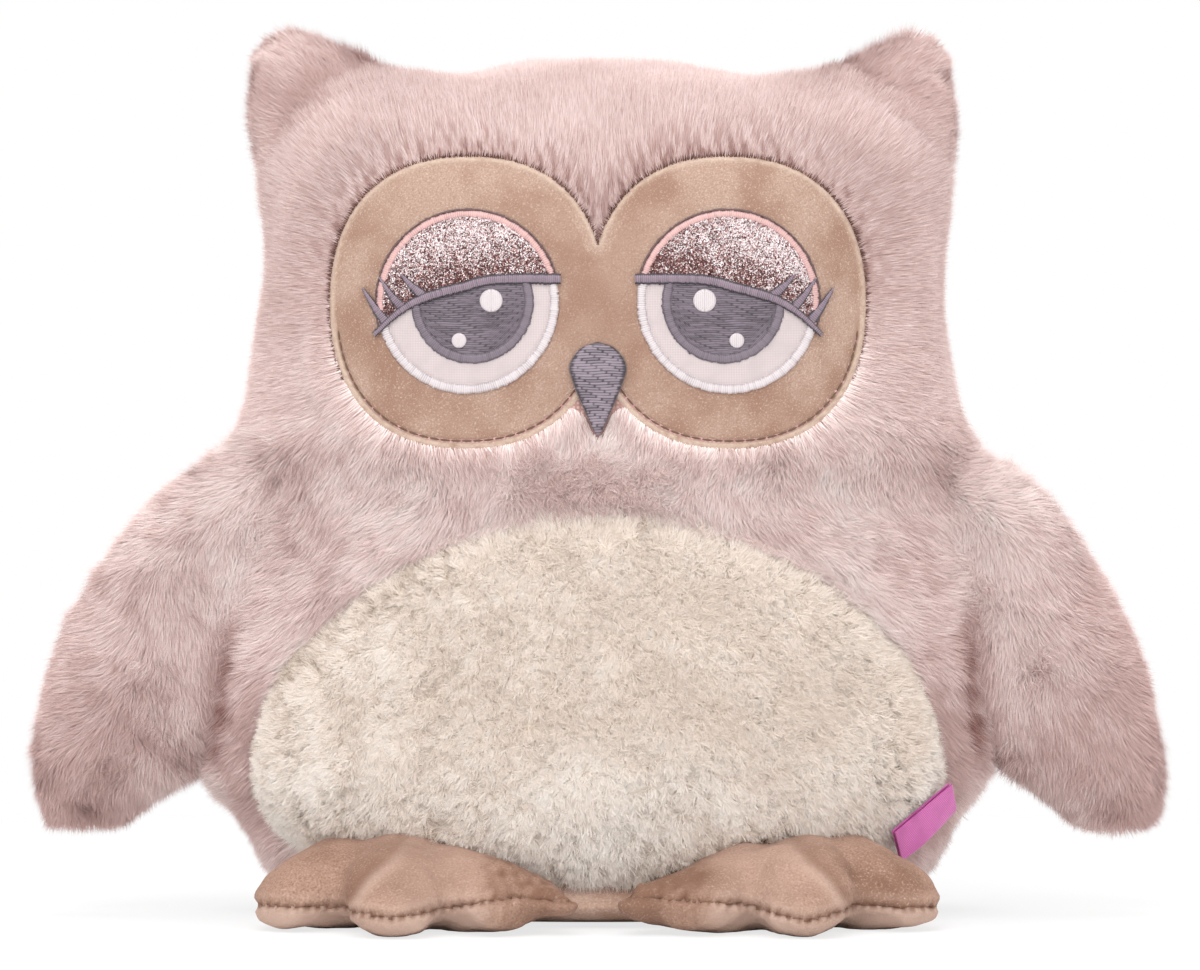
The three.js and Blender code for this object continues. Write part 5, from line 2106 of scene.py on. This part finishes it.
    def colour_fill(self, piece: Object, pitch: float) -> None:
        """Give each stitch of a fill its own shade, with painted shade in the dips of its rows."""
        points = coordinates(piece.data)
        x, z = points[:, 0], points[:, 2]
        height = self.fill_height(x, z, pitch) / (0.26 * MM)
        row = np.floor((z + 0.12 * MM * np.sin(x / (1.9 * MM) + z / (2.3 * MM))) / pitch)
        luck = stitch_luck(x, row, 4.0 * MM)
        put_attribute(piece.data, "thread", np.clip(height * 0.85 + (luck - 0.5) * 0.5, 0, 1))

    def sew_dot(self, part: str, middle: Array, radius: float) -> None:
        """Sew a white dot of upright satin threads."""
        pitch = 0.55 * MM

        def place(u: Array, v: Array) -> Array:
            """Fill the dot with rings."""
            turn, share = u * 2 * math.pi, v
            x, z = middle[0] + radius * share * np.cos(turn), middle[1] + radius * share * np.sin(turn)
            crest = crests(x - middle[0], pitch)
            lift = 0.55 * MM * np.sqrt(np.clip(1 - share**4, 0, 1)) * (0.8 + 0.2 * crest)
            return self.on_face(x, z, self.cloth_inset - 0.55 * MM - lift)

        piece = add_piece(self.name(f"{part}_dot"), wrapped_grid(48, 16, place, FRONT))
        points = coordinates(piece.data)
        # Painted shade between the dot's threads
        put_attribute(piece.data, "thread", 0.4 + 0.6 * crests(points[:, 0] - middle[0], pitch, 1))
        add_thickness(piece, 0.3 * MM)
        self.finish_thread(piece, WHITE_THREAD, part)

    def build_lashes(self) -> None:
        """Sew the three lashes, each tapering to a point."""
        for part, shares in self.lash_shares.items():
            rows = spline(np.array(shares), np.linspace(0, len(shares) - 1, 60)).T
            line = self.place_shares(rows)
            width = 3.5 * MM * (1 - 0.87 * np.linspace(0, 1, len(line)) ** 1.4)
            self.satin_band(
                f"lash_{part}_satin", f"lash_{part}", MAUVE_THREAD, line, width,
                2.2 * MM, 0.9 * MM, 0.55 * MM, 0.95)


class Beak(Embroidery):
    """The beak: an embroidered drop with rows of fill."""

    pitch = 0.72 * MM

    def build(self, drop: Drop) -> None:
        """Sew the drop, padded so that it stands over the mask and the fur.

        Args:
            drop: Its outline.
        """

        def place(u: Array, v: Array) -> Array:
            """Fill the drop with rows."""
            z = drop.top - drop.length * (1 - v)
            x = (2 * u - 1) * drop.half(z)
            share = np.abs(2 * u - 1)
            arch = np.sqrt(np.clip(1 - share**3.5, 0, 1))
            ends = np.sqrt(np.clip(np.minimum(v * 8, (1 - v) * 12), 0, 1))
            lift = (1.5 * MM + Eye.fill_height(x, z, self.pitch, 5.0 * MM)) * arch * ends
            base = 2.6 * MM - 1.2 * MM * ramp(158, 147, z)
            return self.on_face(x, z, base - lift)

        piece = add_piece("beak_fill", wrapped_grid(40, 170, place, FRONT))
        points = coordinates(piece.data)
        x, z = points[:, 0], points[:, 2]
        rim = smoothstep(0.78, 0.98, np.abs(x) / np.maximum(drop.half(z), 0.4 * MM))
        rim = np.maximum(rim, smoothstep(drop.top - 1.2 * MM, drop.top, z))
        luck = stitch_luck(x, np.floor(z / self.pitch), 5.0 * MM)
        # Painted shade in the dips of the rows, and the rim darker
        thread = Eye.fill_height(x, z, self.pitch, 5.0 * MM) / (0.26 * MM) * 0.9 + (luck - 0.5) * 0.55
        put_attribute(piece.data, "thread", np.clip(thread - 0.7 * rim, 0, 1))
        add_thickness(piece, 1.6 * MM)
        dress(piece, BEAK_FILL, "torso", ["beak"])


# Feet, label, base and filling


@dataclass
class Foot:
    """A stuffed velour foot with three toes, narrow at its inner end."""

    side: Side
    heel_offset = 55 * MM
    heel_reach = 32 * MM
    height = 25 * MM
    toe_width = 31 * MM
    # Tip: distance from the middle and reach in millimetres, and size as a share of a whole toe
    toe_tips = ((90, 72, 1.0), (55, 97, 1.0), (22, 89, 0.94), (5, 84, 0.58))
    section_shares = ((0.12, 0.92, 0.96), (0.42, 1.02, 1.0), (0.76, 1.0, 0.76), (0.95, 0.66, 0.45))
    tip_height_share = 0.22
    # Distance from the middle, and the height of the seam there
    seam_heights = ((4, 10.0), (22, 10.4), (38, 8.6), (55, 5.0), (66, 7.0), (80, 7.0), (92, 6.6))
    # The fold between the outer and the middle toe: X and height of its ends
    fold = ((66.5, 8.5), (56.0, 20.0))
    voxel = 2.4 * MM

    def toe(self, tip: tuple[float, float, float]) -> LimbForm:
        """Build one toe's form from the heel to its tip."""
        side = self.side.value
        heel = np.array((side * self.heel_offset, -self.heel_reach, 0))
        end = np.array((side * tip[0], -tip[1], 0)) * MM
        along = end - heel
        out = np.array((-along[1], along[0], 0)) / np.linalg.norm(along)
        lift = (1 - tip[2]) * 10 * MM
        centres, across, ups = [], [], []
        for share, width, height in self.section_shares:
            half_up = height * self.height / 2 * tip[2]
            centres.append(heel + along * share + np.array((0, 0, half_up + lift)))
            across.append(out * width * self.toe_width / 2 * tip[2])
            ups.append(np.array((0, 0, half_up)))
        end = end + np.array((0, 0, self.tip_height_share * self.height + lift))
        heel = heel + np.array((0, 0, ups[0][2]))
        return LimbForm(np.array(centres), np.array(across), np.array(ups), heel, end, 0.14)

    def block(self) -> Object:
        """Join the toes into one closed skin, stuff it and refine it."""
        joined = bmesh.new()
        for tip in self.toe_tips:
            form = self.toe(tip)
            toe = wrapped_sphere(40, 40, lambda t, h, f=form: f.surface(t, h, 0.6 * MM))
            mesh = finished_mesh(toe, "toe")
            joined.from_mesh(mesh)
            bpy.data.meshes.remove(mesh)
        foot = add_piece(f"foot_{self.side.label}_block", joined)
        remesh = foot.modifiers.new("one skin", "REMESH")
        remesh.mode = "VOXEL"
        remesh.voxel_size = self.voxel
        smooth = foot.modifiers.new("soften", "SMOOTH")
        smooth.factor = 0.5
        smooth.iterations = 7
        stuffed(applied(foot), 1.6 * MM)
        finer = foot.modifiers.new("refine", "SUBSURF")
        finer.levels = finer.render_levels = 1
        return applied(foot)

    def seam_line(self, points: Array) -> Array:
        """Return the height of the seam between top and sole at each place."""
        places, heights = np.array(self.seam_heights).T * MM
        x, y, _ = points.T
        height = np.interp(np.abs(x), places, heights)
        return height + 0.35 * MM * np.sin(x / (5 * MM)) + 0.3 * MM * np.sin(y / (4 * MM))

    def off_fold(self, points: Array) -> tuple[Array, Array]:
        """Return how far each place is off the fold's line, and how much of the fold is there."""
        low, high = np.array(self.fold) * MM
        along = high - low
        away = np.column_stack((np.abs(points[:, 0]), points[:, 2])) - low
        share = away @ along / (along @ along)
        off = (away[:, 0] * along[1] - away[:, 1] * along[0]) / np.linalg.norm(along)
        off = off - 1.2 * MM * np.sin(np.clip(share, 0, 1) * math.pi)
        return off, bump(share, 0.5, 0.75) * (points[:, 1] < -60 * MM)

    def sculpt(self, mesh: Mesh) -> None:
        """Sew the seam, fold the velour between the toes, and press the sole flat on the floor."""
        points, normals = surface_of(mesh)
        level = points[:, 2] - self.seam_line(points)
        seam = 0.75 * MM * bell(level, 0, 1.0)
        ridge = 0.35 * MM * bell(np.abs(level), 1.9, 1.2)
        pucker = 0.3 * MM * waves(points, 4.2 * MM, 23) * bell(level, 0.5, 4.0)
        off, here = self.off_fold(points)
        fold = (0.55 * bell(off, -1.2, 1.6) - 0.75 * bell(off, 1.3, 1.6)) * here * MM
        swell = 0.5 * MM * waves(points, 26 * MM, 31 + self.side.value) + 0.2 * MM * waves(points, 9 * MM, 37)
        points = points + normals * (ridge - seam + pucker + swell + fold)[:, None]
        points[:, 2] = np.maximum(points[:, 2], 0.1 * MM)
        reshape(mesh, points)

    def build(self) -> None:
        """Make the top, the sole and the stuffing."""
        label = self.side.label
        body = f"foot_{label}"
        block = self.block()
        self.sculpt(block.data)
        centres = read_attribute(block.data.polygons, "center", 3)
        above_seam = centres[:, 2] > self.seam_line(centres)
        for part, keep in (("foot_top", above_seam), ("foot_sole", ~above_seam)):
            piece = add_piece(f"{part}_velour_{label}", keep_faces(opened(block.data), keep))
            self.mark(piece.data, part == "foot_top")
            add_thickness(piece, 1.0 * MM)
            dress(piece, FOOT_VELOUR, body, [f"{part}_{label}"], Fill.PLUMP)
            sew_on(piece, body, UP, -6 * MM, 12 * MM)
        bpy.data.objects.remove(block)
        self.stuff(body)

    def mark(self, mesh: Mesh, above: bool) -> None:
        """Store where the velour is paler, with painted light on the fold's raised side, and where it is
        darker: its stitched seam, with painted shade at the inner end and in the fold's hollow.
        """
        points = coordinates(mesh)
        x = np.abs(points[:, 0])
        level = points[:, 2] - self.seam_line(points)
        off, here = self.off_fold(points)
        # rim: paler along the seam's ridge, about the middle toe and on the sole, and painted light on the
        # fold's raised side
        middle = bell(x, 43, 19)
        if above:
            rim = 0.2 * bell(level, 2.2, 1.4) + 0.28 * middle + 0.4 * bell(off, -1.2, 1.8) * here
        else:
            rim = 0.3 + 0.45 * middle + 0.2 * ramp(-0.5, -4, level) + 0.35 * ramp(60, 75, x)
        # Painted shade at the inner end and in the fold's hollow; the seam's stitches are dark thread
        inner = ramp(34, 26, x) * (0.5 + 0.3 * waves(points, 5 * MM, 41)) * ramp(4, 16, x)
        stitches = 0.55 + 0.45 * np.sign(np.sin(points[:, 0] / (0.42 * MM)))
        sewn = 0.9 * bell(level, 0, 1.0) * stitches
        crease = np.maximum.reduce([sewn, inner * (1.0 if above else 0.6), 0.6 * bell(off, 1.3, 1.5) * here])
        put_attribute(mesh, "rim", np.clip(rim * (1 - ramp(34, 24, x) * 0.8), 0, 1))
        put_attribute(mesh, "crease", np.clip(crease, 0, 1))

    def stuff(self, body: str) -> None:
        """Make the stuffing of the middle of the foot."""
        across, reach, _ = self.toe_tips[1]
        form = self.toe((across, reach - 8, 0.9))
        bm = wrapped_sphere(20, 20, lambda t, h: form.surface(t, h, 4 * MM))
        name = f"foot_fibre_{self.side.label}"
        piece = add_piece(name, bm)
        dress(piece, STUFFING, body, [f"foot_stuffing_{self.side.label}"], Fill.PLUMP)


class RibbonLabel:
    """A bare satin tape, folded and sewn into the belly seam."""

    along = Vector((0.7141, 0.4262, 0.5554))
    normal = Vector((0.6705, -0.6443, -0.3678))
    out = Vector((0.2011, 0.635, -0.7458))
    width = 23 * MM
    length = 9.6 * MM
    fold = 0.9 * MM

    def build(self) -> None:
        """Fold the tape: two plies from the seam to a soft bend."""
        low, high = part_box("ribbon_label")
        centre = (low + high) / 2
        root = centre - self.out * (self.length / 2) - self.out * 1.5 * MM

        def place(u: Array, v: Array) -> Array:
            """Run down the front of the fold and up behind it."""
            across = (u - 0.5) * self.width
            run = 1 - np.abs(2 * v - 1)
            reach = np.sin(np.clip(run, 0, 1) * math.pi / 2) * (self.length + 1.5 * MM)
            ply = np.sign(v - 0.5) * self.fold * np.cos(run * math.pi / 2) ** 0.4 / 2
            bend = 0.9 * MM * np.sin(u * math.pi * 1.2 + 0.4) * run
            frame_rows = np.array((self.along, self.out, self.normal))
            return np.array(root) + np.column_stack((across, reach, ply + bend)) @ frame_rows

        bm = wrapped_grid(60, 48, place)
        face_towards(bm, FRONT)
        piece = add_piece("ribbon_tape", bm)
        add_thickness(piece, 0.22 * MM)
        dress(piece, RIBBON, "label", ["ribbon_label"])
        lay_out(piece, (self.width, 2.2 * (self.length + 1.5 * MM)))


@dataclass
class Filling:
    """What the bag holds, and the cloth that closes its base."""

    bag: OwlBag

    def build(self) -> None:
        """Make the base, the stuffing and the pouch of pellets."""
        form = self.bag.form
        base_share = 3.0 / (len(form.level_shares) - 1)

        def base(u: Array, v: Array) -> Array:
            """Lay the cloth under the bag and up between the feet."""
            points = form.surface(u * 2 * math.pi, v * base_share, 5.0 * MM) - np.array((0, 0, 4.6 * MM))
            middle = ramp(60, 20, np.abs(points[:, 0])) * (points[:, 1] < 0)
            points[:, 1] -= 11 * MM * middle * smoothstep(0.3, 0.66, v) * (1 - 0.9 * smoothstep(0.7, 1.0, v))
            points[:, 2] = np.maximum(points[:, 2], 0.3 * MM)
            return points

        bm = wrapped_grid(120, 14, base, -UP)
        panel = add_piece("base_cloth", bm)
        for name in ("rim", "crease"):
            put_attribute(panel.data, name, np.zeros(len(panel.data.vertices)))
        add_thickness(panel, 0.8 * MM)
        dress(panel, BASE_CLOTH, "torso", ["base_panel"])
        lay_out(panel, (2.0 * form.half_width, 1.2 * (form.front_depth + form.back_depth)))
        inset = self.bag.fur_depth + 3.5 * MM
        bm = wrapped_sphere(48, 40, lambda t, h: form.surface(t, h, inset))
        fibre = add_piece("body_fibre", bm)
        dress(fibre, STUFFING, "torso", ["body_stuffing"], Fill.PLUMP)
        low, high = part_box("pellet_pouch")
        half = (high - low) / 2
        centre = np.array((low + high) / 2)

        def pouch(turn: Array, height: Array) -> Array:
            """Give the pouch its flattened form."""
            tilt = (height - 0.5) * math.pi
            ring = np.cos(tilt)
            crown = np.sin(tilt)
            sag = 1 + 0.03 * np.sin(turn * 7) * ring
            return centre + np.column_stack(
                (half.x * ring * np.cos(turn) * sag, half.y * ring * np.sin(turn) * sag, half.z * crown))

        bm = wrapped_sphere(40, 24, pouch)
        bag = add_piece("pellet_bag", bm)
        dress(bag, POUCH_CLOTH, "torso", ["pellet_pouch"], Fill.PELLETS)


class Studio:
    """A white floor, soft light from above and in front, and the photograph's camera."""

    camera_x = 0.57 * MM
    camera_height = 121 * MM
    camera_distance = 1500 * MM
    focal_length = 158.5
    floor_size = 8.0

    def build(self) -> None:
        """Set the studio up."""
        self.add_camera()
        self.add_floor()
        self.add_light("key", (-0.4, -1.3, 1.5), 1.5, 19)
        self.add_light("fill", (0.8, -1.4, 0.8), 1.4, 4.5)
        self.add_light("top", (0.0, 0.1, 1.7), 1.2, 9)
        self.add_world(0.85)
        bpy.context.scene.view_settings.view_transform = "Standard"

    def add_camera(self) -> None:
        """Place the camera level, in front of the owl."""
        data = bpy.data.cameras.new("camera")
        data.lens = self.focal_length
        data.sensor_width = 36
        data.clip_start, data.clip_end = 0.05, 40
        camera = add_object("camera", data)
        camera.location = (self.camera_x, -self.camera_distance, self.camera_height)
        camera.rotation_euler = (math.pi / 2, 0, 0)
        bpy.context.scene.camera = camera

    def add_floor(self) -> None:
        """Lay the floor; the camera sees it nearly white, with the owl's soft shadow."""
        bm = bmesh.new()
        bmesh.ops.create_grid(bm, x_segments=1, y_segments=1, size=self.floor_size / 2)
        floor = add_piece("floor", bm)
        material, tree = new_material("white floor")
        paint = add_node(tree, "ShaderNodeBsdfDiffuse", {"Color": colour("#F4F4F4")}).outputs[0]
        glow = add_node(tree, "ShaderNodeEmission", {"Color": colour("#FFFFFF"), "Strength": 1.0}).outputs[0]
        path = add_node(tree, "ShaderNodeLightPath")
        place = add_node(tree, "ShaderNodeTexCoord").outputs["Object"]
        away = add_node(tree, "ShaderNodeVectorMath", {0: place}, operation="LENGTH").outputs["Value"]
        inputs = {"Value": away, "From Min": 0.12, "From Max": 0.45, "To Min": 0.75, "To Max": 1.0}
        fade = add_node(tree, "ShaderNodeMapRange", inputs).outputs["Result"]
        inputs = {0: path.outputs["Is Camera Ray"], 1: fade}
        seen = add_node(tree, "ShaderNodeMath", inputs, operation="MULTIPLY")
        shown = add_node(tree, "ShaderNodeMixShader", {0: seen.outputs[0], 1: paint, 2: glow}).outputs[0]
        add_node(tree, "ShaderNodeOutputMaterial", {"Surface": shown})
        floor.data.materials.append(material)

    def add_light(self, name: str, place: tuple[float, float, float], size: float, power: float) -> None:
        """Hang a large soft light that looks at the owl."""
        data = bpy.data.lights.new(name, "AREA")
        data.shape = "DISK"
        data.size = size
        data.energy = power
        light = add_object(name, data)
        light.location = place
        target = Vector((0, 0, self.camera_height))
        light.rotation_euler = (target - Vector(place)).to_track_quat("-Z", "Y").to_euler()

    def add_world(self, strength: float) -> None:
        """Light everything evenly, and show white where nothing stands."""
        world = bpy.data.worlds.new("studio")
        world.use_nodes = True
        tree = world.node_tree
        tree.nodes.clear()
        even, white = (
            add_node(tree, "ShaderNodeBackground", {"Color": colour("#FFFFFF"), "Strength": glow}).outputs[0]
            for glow in (strength, 1.0)
        )
        path = add_node(tree, "ShaderNodeLightPath")
        inputs = {0: path.outputs["Is Camera Ray"], 1: path.outputs["Is Glossy Ray"]}
        seen = add_node(tree, "ShaderNodeMath", inputs, operation="MAXIMUM")
        shown = add_node(tree, "ShaderNodeMixShader", {0: seen.outputs[0], 1: even, 2: white}).outputs[0]
        add_node(tree, "ShaderNodeOutputWorld", {"Surface": shown})
        bpy.context.scene.world = world


def main() -> None:
    """Build the owl in its studio."""
    logging.basicConfig(level=logging.INFO, format="%(message)s")
    Studio().build()
    bag = OwlBag()
    limbs = [kind(name, side, bag) for side in Side for name, kind in (("wing", Wing), ("ear", Ear))]
    bag.build(limbs)
    FaceMask(bag).build()
    Beak(bag).build(bag.beak)
    for side in Side:
        Eye(side, bag).build()
        Foot(side).build()
    for limb in limbs:
        limb.build()
    RibbonLabel().build()
    Filling(bag).build()


if __name__ == "__main__":
    main()
